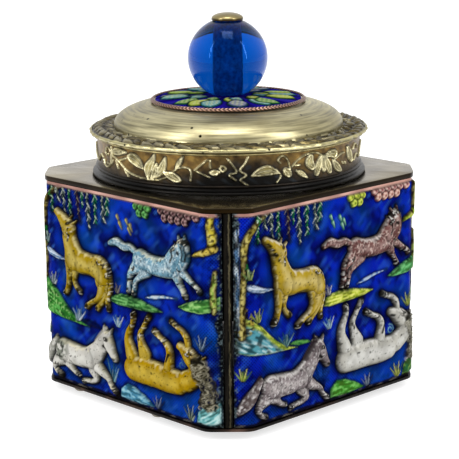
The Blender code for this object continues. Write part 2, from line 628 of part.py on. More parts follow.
def make_knob(material, collection):
    """Glass bead with a bore, held by a pin with a domed cap above and a head under the lid."""
    glass = finish("blue_glass", (0.0, 0.12, 0.6), 0.0, 0.05, alpha=0.6)
    mouth = math.acos(BEAD_BORE / BEAD_RADIUS)
    foot = math.acos(BEAD_FOOT / BEAD_RADIUS)
    outside = arc((0, BEAD_Z), BEAD_RADIUS, mouth, -foot, 10)
    outside.append((BEAD_BORE, BEAD_Z - BEAD_RADIUS * math.sin(foot)))
    turned("glass_bead", outside, BEAD_STEPS, glass, collection)

    under_lid = SEAT_Z - LID_WALL - JOIN_GAP
    bead_top = BEAD_Z + math.sqrt(BEAD_RADIUS ** 2 - CAP_RADIUS ** 2)
    cap_low = bead_top + JOIN_GAP
    cap_inner = BEAD_Z + math.sqrt(BEAD_RADIUS ** 2 - PIN_RADIUS ** 2) + JOIN_GAP
    crown = max(cap_low + CAP_EDGE, cap_inner) + CAP_RISE
    profile = []
    for i in range(5):
        turn = math.pi / 2 * (1 - i / 4)
        rise = cap_low + CAP_EDGE + (crown - cap_low - CAP_EDGE) * math.sin(turn)
        profile.append((CAP_RADIUS * math.cos(turn), rise))
    profile[0] = (0, crown)
    profile += [(CAP_RADIUS, cap_low), (PIN_RADIUS, cap_inner), (PIN_RADIUS, under_lid)]
    profile += [(PIN_FOOT_RADIUS, under_lid), (PIN_FOOT_RADIUS, under_lid - PIN_FOOT_THICK)]
    profile += [(0, under_lid - PIN_FOOT_THICK)]
    turned("knob_pin", profile, BEAD_STEPS, material, collection, closed=False)


def main():
    for old in list(bpy.data.objects):
        bpy.data.objects.remove(old, do_unlink=True)
    caddy = bpy.data.collections.new("enamel_tea_caddy")
    bpy.context.scene.collection.children.link(caddy)
    brass = finish("brushed_brass", (0.46, 0.4, 0.22), 1.0, 0.35)
    dark = finish("dark_brass", (0.12, 0.1, 0.06), 0.8, 0.5)
    make_feet(caddy)
    make_plate("base", BASE_Z, BASE_THICK, 0, dark, caddy)
    make_panels(caddy)
    make_corner_strips(caddy)
    make_plate("shoulder", SHOULDER_Z, SHOULDER_THICK, COLLAR_BORE, brass, caddy)
    make_collar(brass, caddy)
    make_lid(brass, caddy)
    make_medallion(caddy)
    make_knob(brass, caddy)


main()
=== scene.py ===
"""Looks of the enamelled tea caddy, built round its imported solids.

The enamel panels, collar, lid and the other pieces are modelled finely here in their own
places, in metres, with +Z up.  Drawings on them are in millimetres.
"""

import math

import bmesh
import bpy
import numpy as np
from mathutils import Matrix, Vector


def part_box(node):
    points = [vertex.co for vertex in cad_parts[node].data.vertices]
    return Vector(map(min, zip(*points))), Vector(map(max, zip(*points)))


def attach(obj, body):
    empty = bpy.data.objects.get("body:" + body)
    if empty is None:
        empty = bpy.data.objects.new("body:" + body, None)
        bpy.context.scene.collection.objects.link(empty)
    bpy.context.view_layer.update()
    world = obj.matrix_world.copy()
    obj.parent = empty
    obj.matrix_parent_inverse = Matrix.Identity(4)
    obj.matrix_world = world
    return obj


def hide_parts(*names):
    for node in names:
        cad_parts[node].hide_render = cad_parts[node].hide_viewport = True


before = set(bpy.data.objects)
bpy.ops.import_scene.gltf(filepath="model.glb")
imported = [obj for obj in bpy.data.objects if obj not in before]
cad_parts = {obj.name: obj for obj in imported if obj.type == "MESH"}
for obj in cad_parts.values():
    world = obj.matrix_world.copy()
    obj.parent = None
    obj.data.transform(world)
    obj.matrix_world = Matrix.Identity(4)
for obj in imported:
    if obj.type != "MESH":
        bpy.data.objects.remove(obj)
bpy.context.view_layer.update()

# Feet: small domed brass buttons under the base, paler in the middle, with painted shade, dark brown, up
# at the rim where the base plate shades them.  Each is turned to the height and width of its solid.


def linear(code):
    """The linear colour of an sRGB hex code."""
    parts = [int(code[i:i + 2], 16) / 255 for i in (0, 2, 4)]
    return np.array([c / 12.92 if c <= 0.04045 else ((c + 0.055) / 1.055) ** 2.4 for c in parts])


def tint(code):
    """A hex code as a shader's colour value."""
    return (*linear(code), 1.0)


def finish(name, **settings):
    """A new material with its main shader's sockets set."""
    made = bpy.data.materials.new(name)
    made.use_nodes = True
    shader = made.node_tree.nodes["Principled BSDF"]
    for key, value in settings.items():
        shader.inputs[key.replace("_", " ")].default_value = value
    return made


def node(made, kind, *stops, **given):
    """Add a node to a material: an output, or a node for its first one, is linked, and any other
    value is set.  The stops of a colour ramp are (place, hex code) pairs."""
    new = made.node_tree.nodes.new("ShaderNode" + kind)
    for key, value in given.items():
        if key in new.bl_rna.properties:
            setattr(new, key, value)
            continue
        socket = next(s for s in new.inputs if key in (s.identifier, s.name.replace(" ", "_")))
        if isinstance(value, bpy.types.Node):
            value = value.outputs[0]
        if isinstance(value, bpy.types.NodeSocket):
            made.node_tree.links.new(value, socket)
        else:
            socket.default_value = value
    for _ in stops[2:]:
        new.color_ramp.elements.new(0.5)
    for i, (place, code) in enumerate(stops):
        new.color_ramp.elements[i].position = place
        new.color_ramp.elements[i].color = tint(code)
    return new


def link(made, source, name):
    """Join an output, or a node's first one, to a socket of the material's main shader."""
    if isinstance(source, bpy.types.Node):
        source = source.outputs[0]
    made.node_tree.links.new(source, made.node_tree.nodes["Principled BSDF"].inputs[name])


def mottled(made, size, detail=4.0, stretch=(1, 1, 1)):
    """Noise over the piece's own place, in patches of a size in mm."""
    place = node(made, "TexCoord").outputs["Object"]
    moved = node(made, "Mapping", Vector=place, Scale=stretch)
    return node(made, "TexNoise", Vector=moved, Scale=1000 / size, Detail=detail)


def piece(name, shape, finishes, slot, *solids, crease=40):
    """Turn a bmesh into a finished piece that stands for its solids."""
    mesh = bpy.data.meshes.new(name)
    shape.to_mesh(mesh)
    shape.free()
    mesh.shade_smooth()
    mesh.set_sharp_from_angle(angle=math.radians(crease))
    for each in finishes:
        mesh.materials.append(each)
    made = bpy.data.objects.new(name, mesh)
    bpy.context.scene.collection.objects.link(made)
    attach(made, "root")
    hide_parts(*solids)
    return made


def turned(profile, steps, centre=(0, 0), closed=True):
    """A bmesh turned about an upright axis from (radius, height) points: a rolled-up grid."""
    points = profile + profile[:1] if closed else profile
    shape = bmesh.new()
    bmesh.ops.create_grid(shape, x_segments=steps, y_segments=len(points) - 1, size=1)
    seam = []
    for vert in shape.verts:
        column = round((vert.co.x + 1) / 2 * steps) % steps
        row = round((vert.co.y + 1) / 2 * (len(points) - 1))
        radius, level = points[row]
        if column == 0 or row in (0, len(points) - 1):
            seam.append(vert)
        turn = 2 * math.pi * column / steps
        vert.co = (centre[0] + radius * math.cos(turn), centre[1] + radius * math.sin(turn), level)
    bmesh.ops.remove_doubles(shape, verts=seam, dist=1e-7)
    bmesh.ops.recalc_face_normals(shape, faces=shape.faces)
    return shape


FOOT_FULLNESS = 0.6                    # power of the dome's curve; less is fuller
foot_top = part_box("foot_front_left")[1].z
foot_brass = finish("tarnished_foot_brass", Metallic=1.0, Roughness=0.38)
# Brass seen from the side: a paler middle, and painted shade, dark brown, up at the rim under the base
# plate
place = node(foot_brass, "TexCoord").outputs["Object"]
level = node(foot_brass, "SeparateXYZ", Vector=place).outputs["Z"]
share = node(foot_brass, "MapRange", Value=level, From_Min=0.0, From_Max=foot_top)
link(foot_brass, node(foot_brass, "ValToRGB", (0.0, "6e675c"), (0.45, "8d8779"), (1.0, "241c12"),
                      Fac=share), "Base Color")
for spot in ("front_left", "front_right", "back_left", "back_right"):
    low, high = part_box("foot_" + spot)
    radius = (high.x - low.x) / 2
    centre = ((low.x + high.x) / 2, (low.y + high.y) / 2)
    turns = [math.pi / 2 * i / 8 for i in range(9)]
    profile = [(0, high.z)]
    profile += [(radius * math.cos(a) ** FOOT_FULLNESS, high.z * (1 - math.sin(a))) for a in turns]
    piece("turned_foot_" + spot, turned(profile, 32, centre, closed=False), [foot_brass],
          "dark_brass", "foot_" + spot)


# Base plate: a brass sheet to the body's plan, its edge dark with old patina and rubbed to
# pinkish copper tones in places.  Cut to the same outline as the shoulder, edges softened.
CORNER_CUT = 0.0080
BEND_RADIUS = 0.0040


def plate(low, high, hole=0.0, edge=0.0002):
    """A bmesh plate with cut, softly bent corners, and a round hole if it has a radius."""
    half = high.x
    tangent = BEND_RADIUS * math.tan(math.pi / 8)
    turns = [math.pi / 4 * i / 8 for i in range(9)]
    first = [(half - BEND_RADIUS + BEND_RADIUS * math.cos(a),
              half - CORNER_CUT - tangent + BEND_RADIUS * math.sin(a)) for a in turns]
    corner = first + [(y, x) for x, y in reversed(first)]
    shape = bmesh.new()
    outer = []
    for quarter in range(4):
        turn = Matrix.Rotation(quarter * math.pi / 2, 3, "Z")
        outer += [shape.verts.new(turn @ Vector((x, y, low.z))) for x, y in corner]
    runs = [outer]
    if hole:
        turns = [2 * math.pi * i / 96 for i in range(96)]
        runs.append([shape.verts.new((hole * math.cos(a), hole * math.sin(a), low.z)) for a in turns])
    edges = [shape.edges.new((run[i - 1], run[i])) for run in runs for i in range(len(run))]
    bmesh.ops.triangle_fill(shape, edges=edges, use_beauty=True, use_dissolve=False)
    raised = bmesh.ops.extrude_face_region(shape, geom=shape.faces[:])["geom"]
    upper = [v for v in raised if isinstance(v, bmesh.types.BMVert)]
    bmesh.ops.translate(shape, verts=upper, vec=(0, 0, high.z - low.z))
    bmesh.ops.recalc_face_normals(shape, faces=shape.faces)
    rims = [e for e in shape.edges if len(e.link_faces) == 2 and e.calc_face_angle() > 1.2]
    bmesh.ops.bevel(shape, geom=rims, offset=edge, offset_type="OFFSET", segments=2, profile=0.5,
                    affect="EDGES", material=-1, clamp_overlap=True)
    return shape


base_brass = finish("patinated_base_brass", Metallic=0.9, Roughness=0.45)
# Dark brown film with rubbed metal showing in patches
link(base_brass, node(base_brass, "ValToRGB", (0.40, "0c0a08"), (0.54, "241a14"), (0.68, "5a443a"),
                      (0.82, "a08474"), Fac=mottled(base_brass, 9.09)), "Base Color")
low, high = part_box("base")
piece("cut_base_plate", plate(low, high), [base_brass], "dark_brass", "base")


# Panels: pressed copper sheets under translucent enamel.  Each is a fine grid raised by one
# drawing of four horses, trees and hills, bent at both ends and given the sheet's thickness.
# Two pictures of enamel colours go with the one relief, and lie on opposite sides.
SHEET_CELL = 0.235                     # millimetres between the grid's points
GROUND = 37.6                          # the blue ground from the caddy's axis
HALF_FLAT = 28.177                     # half the flat part of a sheet
BEND = 4.0
HALF_WIDTH = 33.853                    # half of the sheet's developed width
SHEET_THICK = 1.0
DRAWING_LEFT = -30.0                   # the drawing's left edge from the sheet's middle
DRAWING_FOOT = 2.4                     # the drawing's foot above the floor
FAR = 99.0                             # a distance past everything drawn

low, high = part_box("panel_front")
sheet_low, sheet_high = low.z * 1000, high.z * 1000
columns = round(2 * HALF_WIDTH / SHEET_CELL)
rows = round((sheet_high - sheet_low) / SHEET_CELL)
across, up = np.meshgrid(np.linspace(-HALF_WIDTH, HALF_WIDTH, columns + 1) - DRAWING_LEFT,
                         np.linspace(sheet_low, sheet_high, rows + 1) - DRAWING_FOOT)


def blank(count=1):
    """Unpainted pictures for the drawing in hand."""
    return [np.zeros(across.shape + (3,)) for _ in range(count)]


def smooth(points):
    """Put three more points on a rounded line between each two of a chain."""
    given = np.array([points[0], *points, points[-1]], float)
    made = []
    for a, b, c, d in zip(given, given[1:], given[2:], given[3:]):
        for t in (0.0, 0.25, 0.5, 0.75):
            made.append(0.5 * (2 * b + (c - a) * t + (2 * a - 5 * b + 4 * c - d) * t ** 2
                               + (3 * b - a - 3 * c + d) * t ** 3))
    return made + [given[-1]]


def limb(points, rounded=True):
    """Distance to a tapering line of (across, up, half width), below 0 inside."""
    best = np.full(across.shape, FAR)
    line = smooth(points) if rounded and len(points) > 2 else points
    for (x0, y0, r0), (x1, y1, r1) in zip(line, line[1:]):
        dx, dy = x1 - x0, y1 - y0
        share = np.clip(((across - x0) * dx + (up - y0) * dy) / max(dx * dx + dy * dy, 1e-9), 0, 1)
        off = np.hypot(across - x0 - share * dx, up - y0 - share * dy)
        best = np.minimum(best, off - r0 - (r1 - r0) * share)
    return best


def area(corners):
    """Distance to a closed outline, below 0 inside."""
    best = np.full(across.shape, FAR)
    inside = np.zeros(across.shape, bool)
    for (x0, y0), (x1, y1) in zip(corners, corners[1:] + corners[:1]):
        dx, dy = x1 - x0, y1 - y0
        share = np.clip(((across - x0) * dx + (up - y0) * dy) / (dx * dx + dy * dy), 0, 1)
        best = np.minimum(best, np.hypot(across - x0 - share * dx, up - y0 - share * dy))
        if dy:
            inside ^= ((y0 > up) != (y1 > up)) & (across < dx * (up - y0) / dy + x0)
    return np.where(inside, -best, best)


def disc(x, y, radius):
    """Distance to a round spot, below 0 inside."""
    return np.hypot(across - x, up - y) - radius


def blend(one, other, soft):
    """The lower of two distances, with the joint between them rounded."""
    near = np.clip(0.5 + 0.5 * (other - one) / soft, 0, 1)
    return other + (one - other) * near - soft * near * (1 - near)


def mottle(size, seed, lean=0.0, stretch=1.0):
    """Smooth random values from 0 to 1 that change over a size in mm, longer along a lean."""
    u = (across * math.cos(lean) + up * math.sin(lean) + 80) / (size * stretch)
    v = (up * math.cos(lean) - across * math.sin(lean) + 80) / size
    grid = np.random.default_rng(seed).random((int(v.max()) + 2, int(u.max()) + 2))
    i, j = v.astype(int), u.astype(int)
    a, b = (f * f * (3 - 2 * f) for f in (v - i, u - j))
    lower = grid[i, j] * (1 - b) + grid[i, j + 1] * b
    upper = grid[i + 1, j] * (1 - b) + grid[i + 1, j + 1] * b
    return lower * (1 - a) + upper * a


def paint(codes, distance, soft=0.14, amount=1.0):
    """Colour both pictures inside a distance; codes are one hex code for each, - for none."""
    share = np.clip(0.5 - distance / (2 * soft), 0, 1) * amount
    for picture, code in zip(pictures, codes.split() if " " in codes else (codes, codes)):
        if code != "-":
            picture += (linear(code) - picture) * share[..., None]


def cover(codes):
    """Colour both pictures all over."""
    paint(codes, np.full(across.shape, -FAR))


def speckle(codes, distance, level, noise, steep=3.0, soft=0.3, amount=0.85):
    """Colour the spots inside a distance where a mottle passes a level."""
    paint(codes, np.maximum(distance, (level - mottle(*noise)) * steep), soft, amount)


def lift(distance, top, width, soft=0.12):
    """Raise a rounded form to a height in mm, reached a width inside its outline."""
    global height
    depth = np.clip(-distance / width, 0, 1)
    form = top * np.sqrt(1 - (1 - depth) ** 2) * np.ones(across.shape)
    height = -blend(-height, -form, soft) - soft * 0.25 * (np.maximum(height, form) < 1e-6)


# Ground: cobalt blue, clouded, darker towards the ends and round the figures
pictures = blank(2)
height = np.zeros(across.shape)
cover("0a2cc0 0824c0")
paint("0c40d4 0a32d0", 0.56 - mottle(6.0, 1, 0.5), 0.25, 0.75)
paint("020858 020864", 0.58 - mottle(3.6, 2, 0.8), 0.3, 0.85)
paint("010328", 0.68 - mottle(1.3, 6, 0.6), 0.25, 0.7)
paint("3c78e4 3068e0", 0.78 - mottle(1.2, 3, 0.7, 2), 0.2, 0.5)
paint("0a50a0", 0.70 - mottle(8.0, 4), 0.2, 0.5)
ends = HALF_WIDTH - abs(across + DRAWING_LEFT)
paint("061018", 1.6 + ends - 4.4 * mottle(4.0, 5), 1.4, 0.9)

# Hills and banks: outline, height in mm, colours of each picture (body, streak, foot)
LAND = (
    ([(-3.4, 29.8), (1.0, 27.6), (4.0, 25.6), (7.0, 22.7), (9.0, 21.1), (12.8, 18.9), (16.5, 17.9),
      (6.0, 18.4), (0.0, 19.2), (-3.4, 20.0)],
     0.75, "2f7a28 96a83c", "5cb052 d6dc6a", "123c18 3f6a22"),
    ([(25.0, 26.7), (25.4, 28.0), (29.0, 29.2), (33.0, 29.5), (37.0, 29.0), (41.0, 28.2), (44.6, 27.3),
      (41.0, 26.5), (34.0, 26.2), (28.0, 26.1)],
     0.7, "3c7e3a b9c83a", "7cbc70 f0f080", "1a4a24 6a8a22"),
    ([(50.4, 29.8), (53.5, 31.4), (57.0, 32.6), (63.4, 34.0), (63.4, 30.6), (58.0, 29.4), (53.0, 29.2)],
     0.7, "4f9440 3f8f4c", "a8dc86 7fce84", "1f6030 1c5a34"),
    ([(28.4, 1.8), (28.6, 4.2), (31.0, 5.9), (34.0, 5.6), (38.0, 4.0), (41.4, 2.0), (35.0, 1.5)],
     0.6, "4f93b4 3f8f2c", "a5d8e4 86cf6a", "1d5a80 1f6a24"),
    ([(56.6, 1.4), (57.0, 4.4), (59.6, 6.6), (63.4, 7.6), (63.4, 1.0)],
     0.6, "6fb6b8 2c6a3c", "cdeeea 8ab04a", "1f7a8c 1a3a2c"),
    ([(38.4, 29.9), (41.0, 30.9), (45.0, 31.6), (50.0, 31.7), (45.0, 30.9), (41.5, 30.0)],
     0.45, "a9c9dc 8fb2d8", "eef6fa d8e8f6", "4a7fb4 2f5fb8"),
    ([(13.0, 19.4), (16.0, 19.7), (20.0, 19.1), (21.5, 18.2), (17.0, 18.3)],
     0.4, "- 2f7a3a", "- 6fb45c", "- 1a5a2a"),
    ([(-1.0, 37.0), (1.5, 36.5), (4.6, 35.2), (8.8, 34.3), (4.5, 34.1), (1.0, 34.8), (-1.0, 35.9)],
     0.4, "7fa6cc 9fb4cc", "e6f0f8 dce6ee", "3a66a8 4a6aa0"),
)
for outline, top, body, streak, foot in LAND:
    distance = area(outline)
    corners = np.array(outline)
    lean = math.atan2(*np.linalg.svd(corners - corners.mean(0))[2][0][::-1])    # its long way
    if len(outline) > 5:
        lift(distance, top, 0.9)
    else:                                  # broken ground
        lift(distance + 0.5 * mottle(1.2, 11), top, 1.6)
    paint("030620", distance - 0.4, 0.35, 0.85)
    paint(foot, distance)
    paint(body, distance + 0.4, 0.35)
    bands = 0.7 * mottle(0.42, 16, lean, 5) + 0.3 * mottle(0.55, 12)
    paint(streak, np.maximum(distance + 0.3, (0.58 - bands) * 3), 0.3, 0.85)
    paint("0c2a14 3a4a14", np.maximum(distance + 0.2, (bands - 0.36) * 3), 0.3, 0.65)
    speckle(streak, abs(distance + 0.2) - 0.12, 0.5, (0.7, 17), 2, 0.12, 0.8)
# The first hill's inner zone, under its ridge, aqua and white on the second picture
hill = area(LAND[0][0])
ridge = limb([(x, y - 0.6, 0.9) for x, y in LAND[0][0][:7]], False)
inner = np.maximum(hill + 0.2, 0.15 - ridge)
paint("- 4f9aac", inner, 0.4, 0.95)
speckle("- cfe6e6", inner, 0.58, (0.42, 13, -0.5, 4), 3, 0.4, 0.75)
speckle("- 10282c", inner, 0.62, (0.7, 14, -0.5, 2), 3, 0.4)
paint("- 10282c", np.maximum(inner, across + 0.6 + 3 * mottle(0.6, 15)), 1.0, 0.6)
speckle("a0d480 -", hill + 0.4, 0.70, (0.5, 15), 2, 0.2, 0.6)
knoll = np.hypot(across + 1.6, (up - 27.4) * 0.7) - 2.6
speckle("- 1c160c", knoll, 0.34, (0.5, 18), 3, 0.35, 0.9)
speckle("- a8963c", knoll, 0.66, (0.42, 19), 3, 0.2, 0.8)

# Trees at both ends: trunks and boughs as limbs, with bark of ochre and dark knots
TRUNKS = (
    ([(-1.9, 24.0, 0.9), (-1.7, 33.0, 0.8), (-1.2, 41.0, 0.8), (-1.4, 46.5, 0.9)], "8a7a34 94843c"),
    ([(-1.4, 45.0, 0.9), (-0.2, 48.6, 0.9), (2.4, 51.6, 0.8), (6.4, 54.0, 0.6)], "94823a a0903e"),
    ([(61.6, 55.0, 0.8), (61.0, 51.6, 1.0), (61.6, 48.2, 1.3), (60.8, 45.4, 0.5)], "c9b83e 9fb63a"),
    ([(62.0, 45.8, 1.0), (60.0, 44.9, 0.9), (57.6, 44.2, 0.7), (56.2, 43.6, 0.4)], "c8b04c a9c23e"),
    ([(62.2, 40.0, 0.6), (61.6, 35.0, 0.8), (61.9, 30.0, 0.6)], "8fb04a 8fb04a"),
)
for points, bark in TRUNKS:
    distance = limb(points)
    lift(distance, 0.9, 0.9)
    paint("06060a", distance - 0.35, 0.35, 0.9)
    paint("2c2408", distance, 0.15)
    paint(bark, distance + 0.9 * mottle(0.9, 24), 0.3)
    speckle("dccf80", distance + 0.25, 0.60, (0.42, 21, 1.5, 2), 3, 0.3, 0.6)
    speckle("241806", distance + 0.1, 0.68, (0.42, 22))
edge_streak = limb([(-2.9, 52.0, 0.5), (-3.05, 40.0, 0.6), (-3.0, 26.0, 0.4)])
paint("5f86ac", edge_streak, 0.3, 0.9)
speckle("dbe6ee", edge_streak, 0.58, (0.34, 23, 1.5, 6), 3, 0.2, 0.9)
speckle("0a1220", edge_streak - 0.2, 0.58, (0.4, 24, 1.6, 5), 3, 0.2, 0.9)


def strand(x, y, lean, length, codes, size=1.5):
    """A hanging willow strand: a thin stem with a pair of narrow leaves at every step."""
    leaf_step = 0.95
    end = (x + lean, y - length)
    stem = limb([(x, y, 0.14), (*end, 0.1)], False)
    lift(stem, 0.3, 0.2)
    paint("02060c", stem - 0.9, 0.7, 0.85)
    paint(codes[0], stem, 0.1)
    for i in range(int(length / leaf_step)):
        share = (i + 0.5) * leaf_step / length
        root = (x + lean * share, y - length * share)
        for side in (-1, 1):
            reach = size * (0.8 + 0.3 * math.sin(7 * i + x))
            tip = (root[0] + side * reach * 0.62, root[1] - reach * 0.85)
            leaf = limb([(*root, 0.13), (*tip, 0.06)], False)
            lift(leaf, 0.35, 0.18)
            paint(codes[(i + (side > 0)) % len(codes)], leaf, 0.1)


GREENS = ("1f7a34", "0f3a1c", "c8e4c8")
PALE = ("5c6c5e", "16301c", "e6eedc")
BROWN = ("3a2826", "948868", "140f08")
for x, lean, length, codes in (
        (2.4, 0.4, 8.4, GREENS), (4.6, 0.6, 5.0, PALE), (6.8, 1.0, 8.2, PALE), (9.4, 0.6, 9.0, GREENS),
        (12.6, 1.0, 9.4, BROWN), (14.6, 0.4, 5.6, GREENS), (16.6, 0.8, 11.0, PALE),
        (19.6, 0.4, 9.2, GREENS), (22.4, 0.8, 8.2, PALE), (24.6, -0.2, 6.4, GREENS)):
    strand(x, 55.0, lean, length, codes)
strand(-0.6, 42.0, 1.0, 4.0, GREENS, 1.2)

# Clusters of round leaves and blossoms along the top edge, bumps in two rows: places across,
# place up, size and the colours of body, rim and petals
LEAFY, BLOSSOM = "8ccf7c eef07c", "c9a8a4 f6ded0"
for xs, y, size, body, rim, petals in (
        ((35.8, 37.9, 40.0), 52.9, 1.25, "4fa04a c6d23e", "1a4a22 5a7a2a", LEAFY),
        ((36.9, 39.1), 51.2, 1.15, "3f8a40 b0c234", "12381c 4a6a22", LEAFY),
        ((45.0, 47.3, 49.8, 52.2, 54.6, 57.2), 53.2, 1.35, "6f464a cf948e", "200e12 6a3038", BLOSSOM),
        ((46.2, 48.6, 51.0, 53.4), 51.4, 1.2, "5c383c cf9a8a", "1c0c10 7a4440", BLOSSOM)):
    for x in xs:
        distance = disc(x, y, size)
        lift(distance, 0.8, size * 0.8)
        paint("040408", distance - 0.35, 0.3, 0.9)
        paint(rim, distance)
        paint(body, distance + 0.3, 0.15)
        paint(rim, disc(x, y, 0.3 * size), 0.2, 0.8)
        for turn in range(5):
            angle = turn * 1.2566 + x
            middle = (x + 0.6 * size * math.cos(angle), y + 0.6 * size * math.sin(angle))
            paint(petals, disc(*middle, 0.22 * size), 0.2, 0.8)
for x, y in ((28.4, 49.2), (29.2, 47.6), (31.8, 48.6), (33.2, 47.6), (32.6, 46.6)):
    leaf = limb([(x, y, 0.5), (x + 0.8, y - 1.6, 0.15)])
    lift(leaf, 0.4, 0.4)
    paint("060c20", leaf - 0.25, 0.25, 0.7)
    paint("7a7848 3f8a66", leaf, 0.15)
    paint("c9b870 b8d8c8", leaf + 0.25, 0.15, 0.8)


def tuft(x, y, blades, length, codes, spread=52):
    """Grass: blades fanned out from one root."""
    for i in range(blades):
        angle = math.radians(90 + spread * (1 - 2 * i / (blades - 1)))
        reach = length * (0.72 + 0.28 * math.cos(2.7 * i))
        tip = (x + reach * math.cos(angle) * 0.8, y + reach * math.sin(angle))
        blade = limb([(x + (i - blades / 2) * 0.12, y, 0.2), (*tip, 0.07)], False)
        lift(blade, 0.35, 0.2)
        paint("050a1a", blade - 0.2, 0.25, 0.5)
        paint(codes[i % len(codes)], blade, 0.12)


for x, y, blades, length, codes, *spread in (
        (2.6, 27.2, 9, 3.6, ("8a9aa0 8ea23c", "3a5a70 5f7a2a", "c4ccc8 c9cc70")),
        (12.4, 19.2, 8, 4.2, ("9ab4c4 4a7a80", "d6e2ea 8ab0a8", "5a86a0 2a5a66")),
        (28.0, 20.4, 9, 3.4, ("a8cede 9cc8dc", "eef6f8 e4f2f6", "6a9cc4 5a92c0")),
        (27.8, 29.2, 7, 2.8, ("6a6a60 b8b8c0", "2a3440 5a5a66", "a09888 e0e0e4")),
        (42.6, 2.0, 8, 3.6, ("5a6a88 6a7a94", "1c2440 2a3450", "98a4b8 a8b4c4")),
        (54.6, 1.8, 9, 4.4, ("586a5a a8b43c", "1c2a24 4f6a24", "a8b49a dcdc70")),
        (58.6, 20.4, 8, 4.2, ("56708a 9cae3c", "1a2c48 4a6a2a", "9cb0c4 d6da70")),
        (-1.6, 13.0, 8, 3.4, ("7f9a4a 9ab43c", "3a5a2a 4f6a24", "c0cc8a dcdc70")),
        (0.2, 38.2, 7, 3.0, ("6f8a8a 6f8a4a", "2a4a50 3a5a2a", "b0c4c4 b8c47c")),
        (25.8, 5.2, 5, 6.6, ("5f9cae -", "a9d4dc -", "2f6a86 -"), 30)):
    tuft(x, y, blades, length, codes, *spread)
coils = [(0.4 + 0.12 * i, 0.9 * i) for i in range(10)]
spiral = limb([(51.5 + out * math.cos(a), 15.2 + out * math.sin(a), 0.16) for out, a in coils], False)
lift(spiral, 0.3, 0.2)
paint("4a7fae 8ccbd8", spiral, 0.15)
